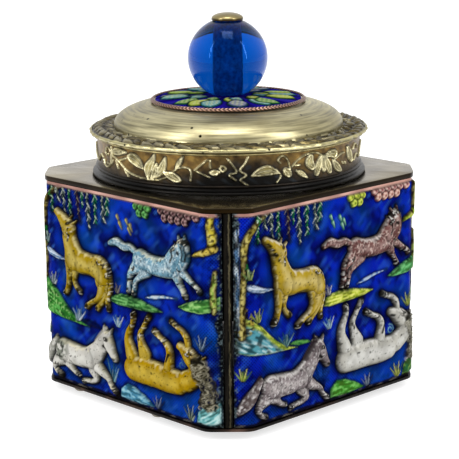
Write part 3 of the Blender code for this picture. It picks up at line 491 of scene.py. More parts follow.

# Horses: limbs of (across, up, half width) that lie behind, then the mass, then in front; tones are (deep,
# body, crest) of each picture, the crest partly a painted highlight, and marks are dark strokes
HORSES = (
    dict(
        far=([(11.8, 33.0, 1.5), (11.2, 30.0, 0.8), (11.8, 28.2, 0.7), (13.2, 26.9, 0.9)],
             [(24.0, 30.4, 1.9), (23.2, 27.0, 1.1), (21.0, 24.6, 0.8), (20.2, 23.7, 0.9)],
             [(25.3, 33.6, 0.7), (25.2, 29.6, 0.9), (24.3, 26.4, 0.8), (24.5, 24.2, 0.8)]),
        mass=([(11.4, 35.2, 3.4), (14.6, 34.9, 3.2), (18.2, 34.7, 3.0), (21.6, 34.3, 3.4),
               (23.0, 32.4, 2.9)],
              [(11.4, 36.8, 3.1), (10.2, 39.4, 2.7), (9.6, 41.6, 2.4)],
              [(9.6, 43.2, 2.5), (7.8, 44.9, 1.8), (6.3, 46.1, 1.3), (5.0, 47.0, 1.0)]),
        near=([(10.0, 34.2, 2.0), (9.4, 30.6, 1.0), (9.0, 28.2, 0.75), (8.4, 26.6, 0.8), (7.8, 25.8, 0.9)],
              [(22.6, 32.2, 2.9), (22.4, 28.6, 1.8), (20.6, 26.2, 1.0), (18.0, 24.9, 0.75),
               (16.2, 23.6, 0.9)]),
        ears=([(11.2, 44.4, 0.6), (12.4, 45.4, 0.25)], [(9.9, 45.4, 0.5), (10.7, 46.6, 0.2)]),
        grooves=([(20.4, 37.2, 0.2), (22.2, 35.0, 0.3), (22.3, 31.6, 0.3), (20.6, 28.6, 0.15)],
                 [(12.6, 37.6, 0.15), (13.6, 34.6, 0.25), (12.6, 32.2, 0.2)],
                 [(7.2, 42.6, 0.1), (8.2, 41.5, 0.2), (9.8, 41.1, 0.2), (11.2, 42.0, 0.1)],
                 [(15.4, 31.9, 0.2), (18.6, 32.0, 0.2)]),
        marks=([(6.2, 44.8, 0.12), (7.0, 44.4, 0.12)], [(7.3, 43.4, 0.3), (7.8, 43.0, 0.3)],
               [(10.0, 44.6, 0.3), (10.6, 44.8, 0.3)], [(10.6, 41.4, 0.2), (10.4, 40.2, 0.15)],
               [(5.2, 46.2, 0.12), (6.0, 45.5, 0.12)], [(8.0, 26.9, 0.3), (7.6, 25.7, 0.7)],
               [(12.8, 27.4, 0.3), (13.4, 26.6, 0.6)], [(16.9, 24.2, 0.3), (15.9, 23.4, 0.6)],
               [(20.4, 24.0, 0.3), (19.9, 23.4, 0.5)], [(24.4, 25.2, 0.4), (24.6, 24.0, 0.6)],
               [(25.0, 36.0, 0.2), (25.6, 33.4, 0.2)], [(21.6, 36.4, 0.2), (22.2, 36.0, 0.15)]),
        dapples=([(21.0, 37.4, 0.3), (22.8, 36.6, 0.8), (24.8, 34.6, 0.8), (25.8, 31.6, 0.7),
                  (25.2, 28.4, 0.6), (24.6, 25.6, 0.7)],
                 [(9.2, 41.6, 0.9), (10.8, 43.0, 0.8), (10.6, 40.6, 0.4)]),
        tones=("3a2c02 4a3c10", "a88c14 b89c2c", "ecdc84 efe0a0")),
    dict(
        far=([(52.6, 38.6, 1.2), (55.4, 36.9, 0.8), (57.4, 35.8, 0.6), (58.2, 34.9, 0.8)],
             [(39.6, 36.9, 1.7), (36.8, 34.9, 0.95), (35.2, 33.6, 0.75), (34.7, 31.6, 0.65),
              (34.3, 30.2, 0.8)]),
        mass=([(37.4, 39.6, 2.7), (41.0, 38.9, 2.5), (45.0, 38.8, 2.6), (48.6, 39.3, 2.8)],
              [(49.2, 41.0, 2.8), (51.0, 43.2, 2.6), (52.4, 44.8, 2.1)],
              [(52.8, 45.2, 1.9), (53.1, 42.6, 1.9), (52.6, 40.6, 1.3), (52.0, 39.5, 1.0)]),
        near=([(50.2, 38.2, 1.7), (51.4, 35.8, 0.95), (52.6, 34.2, 0.65), (53.4, 32.8, 0.8)],
              [(36.8, 38.0, 2.2), (33.8, 35.8, 1.15), (33.1, 34.2, 0.8), (33.0, 32.4, 0.65),
               (32.6, 30.5, 0.85)]),
        tail=([(35.6, 41.0, 0.8), (33.4, 41.9, 1.0), (30.8, 41.7, 1.1), (28.2, 42.5, 1.2),
               (25.8, 41.9, 0.8)],),
        ears=([(53.4, 46.4, 0.6), (53.2, 48.0, 0.25)], [(51.6, 46.2, 0.6), (51.0, 47.6, 0.25)]),
        grooves=([(47.0, 41.4, 0.15), (48.8, 39.6, 0.3), (51.2, 38.0, 0.2)],
                 [(38.8, 41.6, 0.15), (40.0, 39.6, 0.25), (39.4, 37.4, 0.2)],
                 [(51.0, 40.4, 0.1), (51.0, 42.6, 0.2), (51.8, 44.8, 0.15)],
                 [(33.8, 41.7, 0.12), (30.6, 42.1, 0.15), (27.0, 42.7, 0.1)],
                 [(33.6, 41.2, 0.1), (30.4, 41.3, 0.12), (26.6, 41.6, 0.1)]),
        marks=([(50.6, 46.0, 0.35), (52.4, 46.9, 0.45), (54.2, 46.2, 0.4)],
               [(49.6, 44.0, 0.3), (50.8, 44.6, 0.35)], [(49.2, 46.0, 0.15), (50.2, 45.4, 0.3)],
               [(54.0, 45.4, 0.06), (54.5, 43.6, 0.08), (54.2, 42.0, 0.05)],
               [(53.3, 45.6, 0.06), (53.8, 44.0, 0.08), (53.6, 42.0, 0.05)],
               [(50.0, 44.0, 0.05), (50.3, 42.6, 0.08), (49.6, 41.2, 0.05)],
               [(52.0, 43.9, 0.22), (52.5, 43.7, 0.22)], [(51.6, 39.5, 0.15), (52.2, 39.2, 0.15)],
               [(53.0, 33.4, 0.2), (53.6, 32.6, 0.55)], [(57.8, 35.4, 0.2), (58.4, 34.7, 0.5)],
               [(32.8, 31.4, 0.2), (32.5, 30.3, 0.6)], [(34.6, 31.0, 0.2), (34.2, 30.0, 0.5)],
               [(36.0, 37.6, 0.15), (35.4, 36.6, 0.15)], [(33.4, 36.4, 0.12), (32.8, 35.6, 0.12)]),
        dapples=([(35.0, 37.4, 0.9), (33.6, 35.4, 0.8), (33.0, 32.6, 0.7)],
                 [(51.8, 35.4, 0.8), (53.2, 33.2, 0.7)], [(55.6, 36.8, 0.7), (58.0, 35.0, 0.7)],
                 [(50.0, 44.8, 0.8), (52.0, 46.4, 0.9)], [(34.8, 33.0, 0.6), (34.4, 30.8, 0.7)]),
        roan=("1c4a60 140808", "eefafa e8d0c4"),
        tones=("123c54 1c0e10", "7aa8bc 7c5450", "f0fafa e0c4bc")),
    dict(
        far=([(17.6, 7.0, 1.8), (19.2, 4.8, 1.0), (17.6, 3.6, 0.75), (15.6, 3.3, 0.65), (13.8, 2.9, 0.8)],
             [(7.6, 6.8, 1.6), (9.6, 5.2, 0.9), (10.8, 4.4, 0.7), (11.8, 4.1, 0.7)]),
        mass=([(17.6, 9.8, 3.1), (14.0, 9.4, 2.9), (10.4, 9.5, 3.1), (6.4, 9.7, 3.3)],
              [(18.4, 10.8, 3.0), (20.6, 13.0, 2.5), (22.6, 15.6, 2.0)],
              [(23.8, 17.0, 1.7), (24.5, 15.0, 1.9), (25.7, 13.2, 1.3), (26.8, 11.5, 0.95)]),
        near=([(19.8, 8.0, 1.9), (22.6, 6.5, 1.15), (24.2, 5.6, 0.8), (25.2, 4.0, 0.65), (26.8, 2.6, 0.8)],
              [(5.2, 7.6, 2.4), (2.9, 5.9, 1.3), (2.3, 4.6, 0.8), (3.4, 3.2, 0.65), (4.8, 2.6, 0.8)]),
        tail=([(3.2, 12.2, 0.8), (1.8, 10.6, 1.2), (0.0, 8.0, 1.6), (-1.6, 6.0, 1.3), (-2.9, 4.6, 0.7)],),
        ears=([(22.8, 18.0, 0.6), (22.4, 19.6, 0.25)], [(24.8, 18.0, 0.6), (25.6, 19.2, 0.25)]),
        grooves=([(8.4, 12.6, 0.15), (9.2, 9.6, 0.25), (7.8, 7.4, 0.25), (5.4, 6.0, 0.2)],
                 [(17.4, 12.6, 0.15), (19.0, 10.2, 0.25), (18.6, 7.4, 0.2)],
                 [(22.6, 13.6, 0.12), (23.2, 14.6, 0.2), (23.0, 16.4, 0.1)],
                 [(1.6, 11.2, 0.15), (-0.6, 7.6, 0.2), (-2.0, 5.2, 0.15)],
                 [(14.6, 6.9, 0.2), (17.0, 6.6, 0.2)]),
        marks=([(24.0, 16.6, 0.3), (24.6, 16.4, 0.3)], [(23.2, 14.4, 0.25), (23.9, 14.0, 0.25)],
               [(26.4, 11.7, 0.15), (27.0, 11.5, 0.15)], [(21.8, 18.4, 0.25), (23.4, 18.9, 0.3)],
               [(26.2, 3.2, 0.2), (27.2, 2.4, 0.55)], [(14.4, 3.0, 0.2), (13.4, 2.9, 0.5)],
               [(4.2, 2.8, 0.2), (5.2, 2.5, 0.5)], [(11.4, 4.3, 0.2), (12.2, 4.0, 0.4)]),
        dapples=([(4.0, 5.8, 0.8), (2.6, 4.4, 0.7), (4.2, 2.9, 0.7)], [(24.6, 4.6, 0.5), (26.4, 2.9, 0.8)],
                 [(16.2, 3.4, 0.5), (13.9, 2.9, 0.7)]),
        roan=("- 1c1416", "- f4f0ee"),
        tones=("4c4e48 1c161a", "d6d3ca 8a7f80", "fffef6 f0e8e4")),
    dict(
        far=([(54.0, 20.6, 0.9), (53.5, 22.4, 1.0), (52.0, 23.9, 0.8), (50.0, 24.7, 0.65),
              (48.0, 25.6, 0.8)],
             [(38.2, 15.0, 2.2), (37.0, 17.8, 1.3), (36.4, 20.0, 0.9), (37.8, 22.4, 0.65),
              (39.8, 25.2, 0.85)]),
        mass=([(33.9, 10.7, 3.4), (37.6, 10.8, 3.6), (42.0, 10.8, 3.6), (46.4, 10.5, 3.5),
               (50.2, 10.5, 3.2)],
              [(53.4, 11.5, 2.8), (56.2, 13.2, 2.5), (57.4, 15.4, 2.1)],
              [(56.8, 16.4, 2.4), (54.9, 17.9, 2.4), (52.8, 19.3, 1.6), (51.2, 20.0, 1.1)]),
        near=([(47.0, 13.6, 1.8), (47.5, 17.0, 1.15), (46.8, 19.2, 0.95), (44.4, 20.6, 0.65),
               (41.8, 21.9, 0.85)],
              [(33.4, 14.2, 2.2), (32.1, 18.0, 1.3), (32.6, 20.4, 0.95), (33.8, 22.6, 0.65),
               (34.0, 24.8, 0.85)]),
        ears=([(58.2, 17.6, 0.6), (59.6, 18.8, 0.25)],),
        grooves=([(37.4, 11.0, 0.1), (36.6, 13.0, 0.2), (35.6, 14.6, 0.2)],
                 [(45.6, 12.4, 0.1), (45.2, 14.6, 0.2)], [(50.2, 14.2, 0.2), (51.4, 12.6, 0.1)],
                 [(55.2, 15.0, 0.15), (56.0, 16.6, 0.2), (55.8, 18.4, 0.1)]),
        marks=([(56.6, 17.4, 0.3), (57.4, 17.6, 0.35)], [(54.4, 18.9, 0.2), (55.2, 18.5, 0.2)],
               [(50.8, 19.3, 0.15), (51.8, 19.1, 0.15)], [(58.0, 19.0, 0.3), (59.0, 17.4, 0.4)],
               [(42.4, 21.6, 0.2), (41.4, 22.1, 0.55)], [(48.8, 25.2, 0.2), (47.6, 25.8, 0.5)],
               [(34.1, 24.0, 0.2), (33.9, 25.2, 0.55)], [(39.4, 24.4, 0.2), (40.0, 25.6, 0.5)],
               [(47.0, 15.4, 0.15), (47.8, 17.2, 0.2)], [(36.4, 19.0, 0.15), (36.0, 20.0, 0.15)]),
        dapples=([(36.6, 19.0, 0.7), (37.6, 21.8, 0.6), (39.4, 24.6, 0.8)],
                 [(33.6, 22.0, 0.6), (34.0, 24.6, 0.8)], [(46.4, 19.6, 0.7), (42.4, 21.6, 0.8)],
                 [(53.2, 22.6, 0.6), (49.0, 25.2, 0.8)],
                 [(58.2, 17.6, 0.8), (57.0, 18.8, 0.7), (55.0, 19.6, 0.5)]),
        tones=("3c2a02 54524c", "b08c08 c6c4ba", "ecd460 f8f8f4")),
)
wear_and_highlight = mottle(0.7, 31) * 0.6 + mottle(2.0, 32) * 0.4
figures = np.full(across.shape, FAR)
for horse in HORSES:
    far, tail, ears, near = ([limb(points) for points in horse.get(part, ())]
                             for part in ("far", "tail", "ears", "near"))
    mass = np.full(across.shape, FAR)
    for points in horse["mass"]:
        mass = blend(mass, limb(points), 0.9)
    deep, body, crest = horse["tones"]
    layers = [(d, 0.95, 0.9) for d in far + tail + ears] + [(mass, 1.75, 2.2)]
    layers += [(d, 1.45, 1.3) for d in near]
    whole = np.minimum.reduce([d for d, _, _ in layers])
    figures = np.minimum(figures, whole)
    # Dark rings round each horse: partly dark enamel, partly painted shade where the ground meets the
    # figure
    paint("01031e", whole - 1.1, 1.0, 0.75)
    paint("010208", whole - 0.4, 0.35, 0.95)
    for distance, top, width in layers:
        before = height.copy()
        lift(distance, top, width, 0.1)
        shown = np.maximum(distance, (before - height) * 4 + 0.1)
        # Deep tone at each form's edge, where the enamel lies thick; the body inside; and a paler crest on
        # top, partly enamel worn thin and partly a painted highlight
        paint(deep, shown, 0.12)
        paint(body, shown + 0.35, 0.3)
        paint(crest, shown + width * (1.25 - 0.6 * wear_and_highlight), width * 0.35, 0.45)
        # A broken pale line just inside each outline: a painted highlight along the edge
        speckle(crest, abs(shown + 0.36) - 0.12, 0.50, (1.1, 38), 2, 0.12, 0.7)
    # Grooves are sunk and painted in the deep tone: partly enamel pooled in the crease, partly painted
    # shade
    for points in horse["grooves"]:
        groove = limb(points)
        height -= 0.22 * np.exp(-(np.maximum(groove, 0) / 0.35) ** 2) * (whole < 0)
        paint(deep, np.maximum(groove, whole + 0.2), 0.4, 0.5)
    paint(deep, np.maximum(whole + 0.4, 0.58 - mottle(1.7, 39)), 0.35, 0.3)
    for code, seed in zip(horse.get("roan", ()), (48, 49)):
        speckle(code, whole + 0.25, 0.76, (0.38, seed), 3, 0.2, 0.55)

# Painted shade and highlight: the figures' lower edges are darkened and their upper edges lightened, as if
# lit from above
rise_up, rise_across = np.gradient(height, SHEET_CELL)
tilt = -rise_up - 0.25 * rise_across
paint("140a02 0e0c0e", np.maximum(figures + 0.1, 0.75 + tilt), 0.35, 0.6)
# Painted highlight on the figures' upper edges, broken by a mottle
painted_highlight = 0.80 - tilt + 0.9 * (mottle(0.8, 47) - 0.5)
paint("fbf0bc fbf8f0", np.maximum(figures + 0.25, painted_highlight), 0.25, 0.45)
for horse in HORSES:
    for points in horse["marks"]:
        mark = limb(points, False) - 0.12 - 0.15 * mottle(0.5, 35)
        paint("0a0806", mark, 0.15, 0.95)
        # Pale specks inside the dark marks are painted glints
        speckle("e4e0d4", mark + 0.25, 0.80, (0.42, 33), 2, 0.15, 0.8)
    for points in horse["dapples"]:
        spots = np.maximum(limb(points), figures + 0.05)
        speckle("080808", spots, 0.66, (0.5, 37), 3, 0.18, 0.9)
        speckle("f4ecd0 f4f0ea", spots, 0.74, (0.42, 36), 3, 0.18, 0.7)
speckle("1c140a 1c1816", figures + 0.2, 0.86, (0.38, 34), 2.5, 0.2, 0.8)

# Dark dapples: the kneeling horse's rump, mane and tail, and the rolling horse's mane
rump = area([(3.2, 11.8), (5.6, 12.8), (8.4, 12.2), (8.8, 9.6), (6.4, 7.2), (3.4, 7.8)])
speckle("6c7264 -", rump, 0.42, (0.8, 41), 3, 0.5)
speckle("22251f -", rump + 0.3, 0.62, (0.6, 42), 3, 0.25)
mane = limb([(18.8, 14.6, 0.5), (20.8, 16.8, 0.6), (23.0, 18.9, 0.5)])
paint("c9c6ba 3a3034", mane, 0.2, 0.85)
tail_hair = limb([(3.2, 12.6, 0.8), (1.8, 10.6, 1.2), (0.0, 8.0, 1.6), (-1.6, 6.0, 1.3),
                  (-2.9, 4.6, 0.7)])
speckle("8f9086 3c2c2a", tail_hair, 0.45, (0.6, 43), 2, 0.3, 0.8)
hair = area([(55.8, 17.6), (57.4, 18.8), (59.6, 18.0), (60.6, 15.2), (61.8, 13.0), (62.6, 10.6),
             (63.2, 8.0), (62.0, 5.8), (59.4, 5.2), (57.4, 7.0), (58.4, 9.4), (58.2, 12.0), (56.8, 14.2)])
hair -= 0.8 * (mottle(0.9, 44) - 0.3)
lift(hair, 0.6, 0.9)
paint("14120c 22201a", hair, 0.4, 0.95)
flow = smooth([(58.0, 17.2), (59.2, 13.4), (60.6, 9.6), (60.0, 6.4)])
drawn = np.random.default_rng(45)
for i in range(150):
    x, y = flow[drawn.integers(len(flow))] + drawn.uniform((-2.0, -0.8), (1.8, 0.8))
    way = drawn.choice((-1, 1))
    lock = limb([(x, y, 0.1), (x + way * 0.5, y - 0.25, 0.12), (x + way * 0.65, y - 0.8, 0.1),
                 (x + way * 0.2, y - 1.15, 0.05)])
    lift(lock, 1.0, 0.2)
    paint(("6f6a56 8f8c7c", "34301f 4c4834", "a8a28c bcb8a8")[i % 3], lock, 0.1, 0.9)

bare = np.clip(1 - height / 0.15, 0, 1)     # 1 in the ground, 0 on the figures

# Edges: the enamel stops under the shoulder at bare copper, and at the foot at a dark rim
EDGE_TOP = sheet_high - DRAWING_FOOT
EDGE_FOOT = sheet_low - DRAWING_FOOT
fade = np.minimum(ends, np.minimum(up - EDGE_FOOT, EDGE_TOP - up))
height += (mottle(3.5, 51) - 0.5) * 0.16 + (mottle(1.1, 52) - 0.5) * 0.05
height *= np.clip((fade - 0.55) / 0.7, 0, 1)
paint("100c09", up - EDGE_FOOT - 0.45 - 0.6 * mottle(1.6, 53), 0.25, 0.95)
speckle("8a8478", up - EDGE_FOOT - 0.5, 0.72, (0.5, 54, 0, 4), 2, 0.2, 0.5)
paint("0c0a0a", EDGE_TOP - 1.0 - up, 0.25, 0.9)
copper_edge = EDGE_TOP - 0.55 - 0.25 * mottle(2.5, 55) - up
paint("a4786c", copper_edge, 0.12)
paint("d8b4a6", np.maximum(copper_edge, 0.52 - mottle(7.0, 56)), 0.4, 0.7)
paint("5a3630", np.maximum(copper_edge, 0.62 - mottle(5.0, 57)), 0.3, 0.6)
worn = ends - 2.6 * mottle(1.6, 58) * mottle(4.0, 60) - 0.2
paint("0c0e0c", worn, 0.4, 0.95)
speckle("5c6c70", worn - 0.4, 0.70, (0.45, 59), 3, 0.25, 0.8)

HATCH_MM = 0.604                       # between lines; the real hatch is finer and would not show
PIT_MM = 0.4545
DARKEN = dict(data_type="RGBA", blend_type="MULTIPLY", Factor_Float=1.0)     # B darkens A
enamel = finish("translucent_enamel", Roughness=0.16, Specular_IOR_Level=0.004)
# Glassy enamel over hatched copper: painted colour, small pits, and a fine crossed hatch that
# shows through the blue only, where the colour's alpha is 1
coat = node(enamel, "VertexColor", layer_name="enamel")
chart = node(enamel, "UVMap", uv_map="drawing")
hatch = []
for turn in (0.78, -0.78):
    turned_chart = node(enamel, "Mapping", Vector=chart, Rotation=(0, 0, turn))
    hatch.append(node(enamel, "TexWave", Vector=turned_chart, Scale=math.pi / 10 / HATCH_MM,
                      Distortion=0.6, Detail=1.0).outputs["Fac"])
crossed = node(enamel, "Math", operation="MAXIMUM", Value=hatch[0], Value_001=hatch[1])
shade = node(enamel, "ValToRGB", (0.0, "707070"), (1.0, "bcbcbc"), Fac=crossed)
glass = node(enamel, "Mix", data_type="RGBA", Factor_Float=coat.outputs["Alpha"],
             A_Color=tint("bebebe"), B_Color=shade).outputs[2]
link(enamel, node(enamel, "Mix", **DARKEN, A_Color=coat, B_Color=glass).outputs[2], "Base Color")
pits = node(enamel, "TexNoise", Vector=chart, Scale=1 / PIT_MM, Detail=3.0)
link(enamel, node(enamel, "Bump", Height=pits, Strength=0.5, Distance=0.0002), "Normal")
bare_copper = finish("bare_copper", Metallic=1.0, Roughness=0.35)
# Pinkish copper where the sheet's edge was never enamelled
link(bare_copper, node(bare_copper, "VertexColor", layer_name="enamel"), "Base Color")

run = (across + DRAWING_LEFT).ravel()
level = (up + DRAWING_FOOT).ravel()


def bent(run, level, rise):
    """Places in metres on the front sheet, from lengths along its ground in mm."""
    turn = np.clip((abs(run) - HALF_FLAT) / BEND, 0, math.pi / 4)
    past = np.maximum(abs(run) - HALF_FLAT - BEND * math.pi / 4, 0)
    x = np.minimum(abs(run), HALF_FLAT) + (BEND + rise) * np.sin(turn) + past * np.cos(turn)
    y = BEND - GROUND - (BEND + rise) * np.cos(turn) + past * np.sin(turn)
    return np.stack([np.sign(run) * x, y, level], axis=1) / 1000


def bent_sheet():
    """A bmesh of the front panel: the raised grid, its turned-in edge and its smooth back."""
    shape = bmesh.new()
    uv = shape.loops.layers.uv.new("drawing")
    spot = shape.verts.layers.int.new("spot")
    bmesh.ops.create_grid(shape, x_segments=columns, y_segments=rows, size=1)
    for face in shape.faces:
        for loop in face.loops:
            x, y, _ = loop.vert.co
            loop[uv].uv = ((x + 1) * HALF_WIDTH, (y + 1) / 2 * (sheet_high - sheet_low))
    front = list(shape.verts)
    rims = [e for e in shape.edges if e.is_boundary]
    made = bmesh.ops.extrude_edge_only(shape, edges=rims)["geom"]
    back = [v for v in made if isinstance(v, bmesh.types.BMVert)]
    ends = [v for v in back if abs(v.co.x) > 0.99999 and abs(v.co.y) < 0.99999]
    caps = [e for e in made if isinstance(e, bmesh.types.BMEdge) and e.verts[0].co.y == e.verts[1].co.y
            and abs(e.verts[0].co.y) > 0.99999 and e.verts[0].co.x != e.verts[1].co.x]
    behind = np.array([v.co for v in back])
    backs = bent(behind[:, 0] * HALF_WIDTH,
                 (behind[:, 1] + 1) / 2 * (sheet_high - sheet_low) + sheet_low, -SHEET_THICK)
    spots = np.array([v.co for v in front])
    order = (np.round((spots[:, 1] + 1) / 2 * rows) * (columns + 1)
             + np.round((spots[:, 0] + 1) / 2 * columns)).astype(int)
    places = bent(run, level, height.ravel())[order]
    for vert, place, number in zip(front, places, order):
        vert.co = place
        vert[spot] = number
    for vert, place in zip(back, backs):
        vert.co = place
    bmesh.ops.dissolve_verts(shape, verts=ends)
    bmesh.ops.bridge_loops(shape, edges=caps)
    for face in shape.faces:
        face.material_index = int(face.calc_center_median().z * 1000 > sheet_high - 0.6)
    return shape


first_sheet = bent_sheet()
for quarter, side in enumerate(("front", "right", "back", "left")):
    shape = first_sheet.copy()
    bmesh.ops.rotate(shape, verts=shape.verts, cent=(0, 0, 0),
                     matrix=Matrix.Rotation(quarter * math.pi / 2, 3, "Z"))
    panel = piece("enamelled_panel_" + side, shape, [enamel, bare_copper], "enamel", "panel_" + side,
                  crease=80)
    order = np.zeros(len(panel.data.vertices), int)
    panel.data.attributes["spot"].data.foreach_get("value", order)
    panel.data.attributes.remove(panel.data.attributes["spot"])
    coat = panel.data.color_attributes.new("enamel", "FLOAT_COLOR", "POINT")
    colours = np.concatenate([pictures[quarter % 2].reshape(-1, 3), bare.reshape(-1, 1)], axis=1)[order]
    coat.data.foreach_set("color", colours.ravel())
first_sheet.free()


# Corner strips: narrow solder-blackened brass strips that close the joints, with a worn
# bronze line down the middle where hands have rubbed the film off.
STRIP_THICK = 0.0012
STRIP_WIDTH = 0.0020
strip_brass = finish("blackened_strip_brass", Metallic=0.7, Roughness=0.5, Specular_IOR_Level=0.1)
# Dark brown-black film, a thin rubbed bronze line beside the middle, streaked lengthwise
place = node(strip_brass, "UVMap", uv_map="strip")
middle = node(strip_brass, "SeparateXYZ", Vector=place).outputs["X"]
shifted = node(strip_brass, "Math", operation="MULTIPLY_ADD", Value_001=0.6, Value_002=middle,
               Value=mottled(strip_brass, 0.769, 5.0, (1, 1, 0.5)))
middle = node(strip_brass, "Math", operation="SUBTRACT", Value=shifted, Value_001=0.3)
line = node(strip_brass, "ValToRGB", (0.0, "0c0a08"), (0.30, "1a160f"), (0.52, "0c0a08"),
            (0.64, "4a4434"), (0.72, "5c563e"), (0.80, "1a160f"), (1.0, "080706"), Fac=middle)
patchy = node(strip_brass, "ValToRGB", (0.35, "3a3a3a"), (0.7, "ffffff"),
              Fac=mottled(strip_brass, 1.111, 4.0, (1, 1, 0.15)))
link(strip_brass, node(strip_brass, "Mix", **DARKEN, A_Color=line, B_Color=patchy).outputs[2],
     "Base Color")
link(strip_brass, node(strip_brass, "Bump", Height=mottled(strip_brass, 0.6667, 3.0, (1, 1, 0.3)),
                       Strength=0.6, Distance=0.0003), "Normal")
for quarter, side in enumerate(("front_right", "back_right", "back_left", "front_left")):
    low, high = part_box("corner_strip_" + side)
    angle = quarter * math.pi / 2 - math.pi / 4
    middle = Vector(((low.x + high.x) / 2, (low.y + high.y) / 2, (low.z + high.z) / 2))
    shape = bmesh.new()
    uv = shape.loops.layers.uv.new("strip")
    bmesh.ops.create_cube(shape, size=1)
    bmesh.ops.scale(shape, vec=(STRIP_THICK, STRIP_WIDTH, high.z - low.z), verts=shape.verts)
    upright = [e for e in shape.edges if abs(e.verts[0].co.z - e.verts[1].co.z) > STRIP_WIDTH]
    bmesh.ops.bevel(shape, geom=upright, offset=STRIP_WIDTH / 5, offset_type="OFFSET", segments=3,
                    profile=0.5, affect="EDGES", material=-1)
    for face in shape.faces:
        for loop in face.loops:
            loop[uv].uv = (loop.vert.co.y / STRIP_WIDTH + 0.5, loop.vert.co.z)
    bmesh.ops.rotate(shape, verts=shape.verts, cent=(0, 0, 0), matrix=Matrix.Rotation(angle, 3, "Z"))
    bmesh.ops.translate(shape, verts=shape.verts, vec=middle)
    piece("soldered_strip_" + side, shape, [strip_brass], "dark_brass", "corner_strip_" + side)


# Shoulder: brushed brass plate that the collar stands on, dull grey-gold, with a soft edge over the
# panels.
def brushed(name, stops, stretch, roughness, scratch=0.25, side_darkening=0.0):
    """Brass with fine brushing along one direction, clouded tarnish, and darker on faces that turn away
    from straight up.
    """
    made = finish(name, Metallic=1.0, Roughness=roughness)
    tone = node(made, "ValToRGB", *stops, Fac=mottled(made, 18.18, 5.0))
    facing = node(made, "SeparateXYZ", Vector=node(made, "NewGeometry").outputs["Normal"]).outputs["Z"]
    film = node(made, "ValToRGB", (side_darkening, "3c3226"), (side_darkening + 0.5, "ffffff"), Fac=facing)
    link(made, node(made, "Mix", **DARKEN, A_Color=tone, B_Color=film).outputs[2], "Base Color")
    fine = mottled(made, 1.4286, 4.0, stretch)
    link(made, node(made, "MapRange", Value=fine, To_Min=roughness - 0.05, To_Max=roughness + 0.1),
         "Roughness")
    link(made, node(made, "Bump", Height=fine, Strength=scratch, Distance=0.0001), "Normal")
    return made


shoulder_brass = brushed("brushed_shoulder_brass", ((0.3, "4c4232"), (0.5, "857a60"), (0.7, "a69c82")),
                         (0.1, 1, 1), 0.2, 0.16, 0.1)
# Dull grey-gold sheet with long fine scratches from side to side, darker brown on its edge
low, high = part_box("shoulder")
bore = 0.0330
piece("brushed_shoulder", plate(low, high, hole=bore), [shoulder_brass], "brass", "shoulder")


# Collar: cast brass band with a vine in relief.  The sunk ground is dark with patina, the
# raised outlines are rubbed to pale gold.  Turned finely, then raised by its own drawing.
COLLAR_STEPS = 960
COLLAR_WALL = 0.0013                   # at the ground of the band
BAND_LIP = 0.0005                      # the beads above and below the band stand this proud
BAND_FOOT = 0.0024                     # above the collar's underside
BAND_MM = 7.2                          # height of the band
low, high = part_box("collar")
foot_z, top_z = low.z, high.z
flange = high.x
ground = bore + COLLAR_WALL
lip = ground + BAND_LIP
band_low = foot_z + BAND_FOOT
band_high = band_low + BAND_MM / 1000
rows_up = 38
profile = [(bore, top_z), (lip - 0.0001, top_z), (lip, top_z - 0.0001), (lip, band_high + 0.00035)]
profile += [(lip - 0.00012, band_high + 0.00015)]
profile += [(ground, band_high - (band_high - band_low) * i / rows_up) for i in range(rows_up + 1)]
profile += [(lip - 0.0001, band_low - 0.00012), (lip, band_low - 0.0003), (lip, band_low - 0.0005)]
profile += [(lip - 0.00015, band_low - 0.0007), (ground, band_low - 0.0009), (ground, foot_z + 0.0011)]
profile += [(ground + 0.0003, foot_z + 0.0008), (flange - 0.0002, foot_z + 0.0007)]
profile += [(flange, foot_z + 0.0005), (flange, foot_z + 0.0001), (flange - 0.0001, foot_z)]
profile += [(bore, foot_z)]
shape = turned(profile, COLLAR_STEPS)
spots = np.array([v.co for v in shape.verts])
radius = np.hypot(spots[:, 0], spots[:, 1])
round_mm = math.radians(1) * ground * 1000            # millimetres in a degree
degrees = (np.degrees(np.arctan2(spots[:, 1], spots[:, 0])) + 45 + 90) % 180 - 90
across, up = degrees * round_mm, (spots[:, 2] - band_low) * 1000
height = np.zeros(across.shape)
pictures = blank()
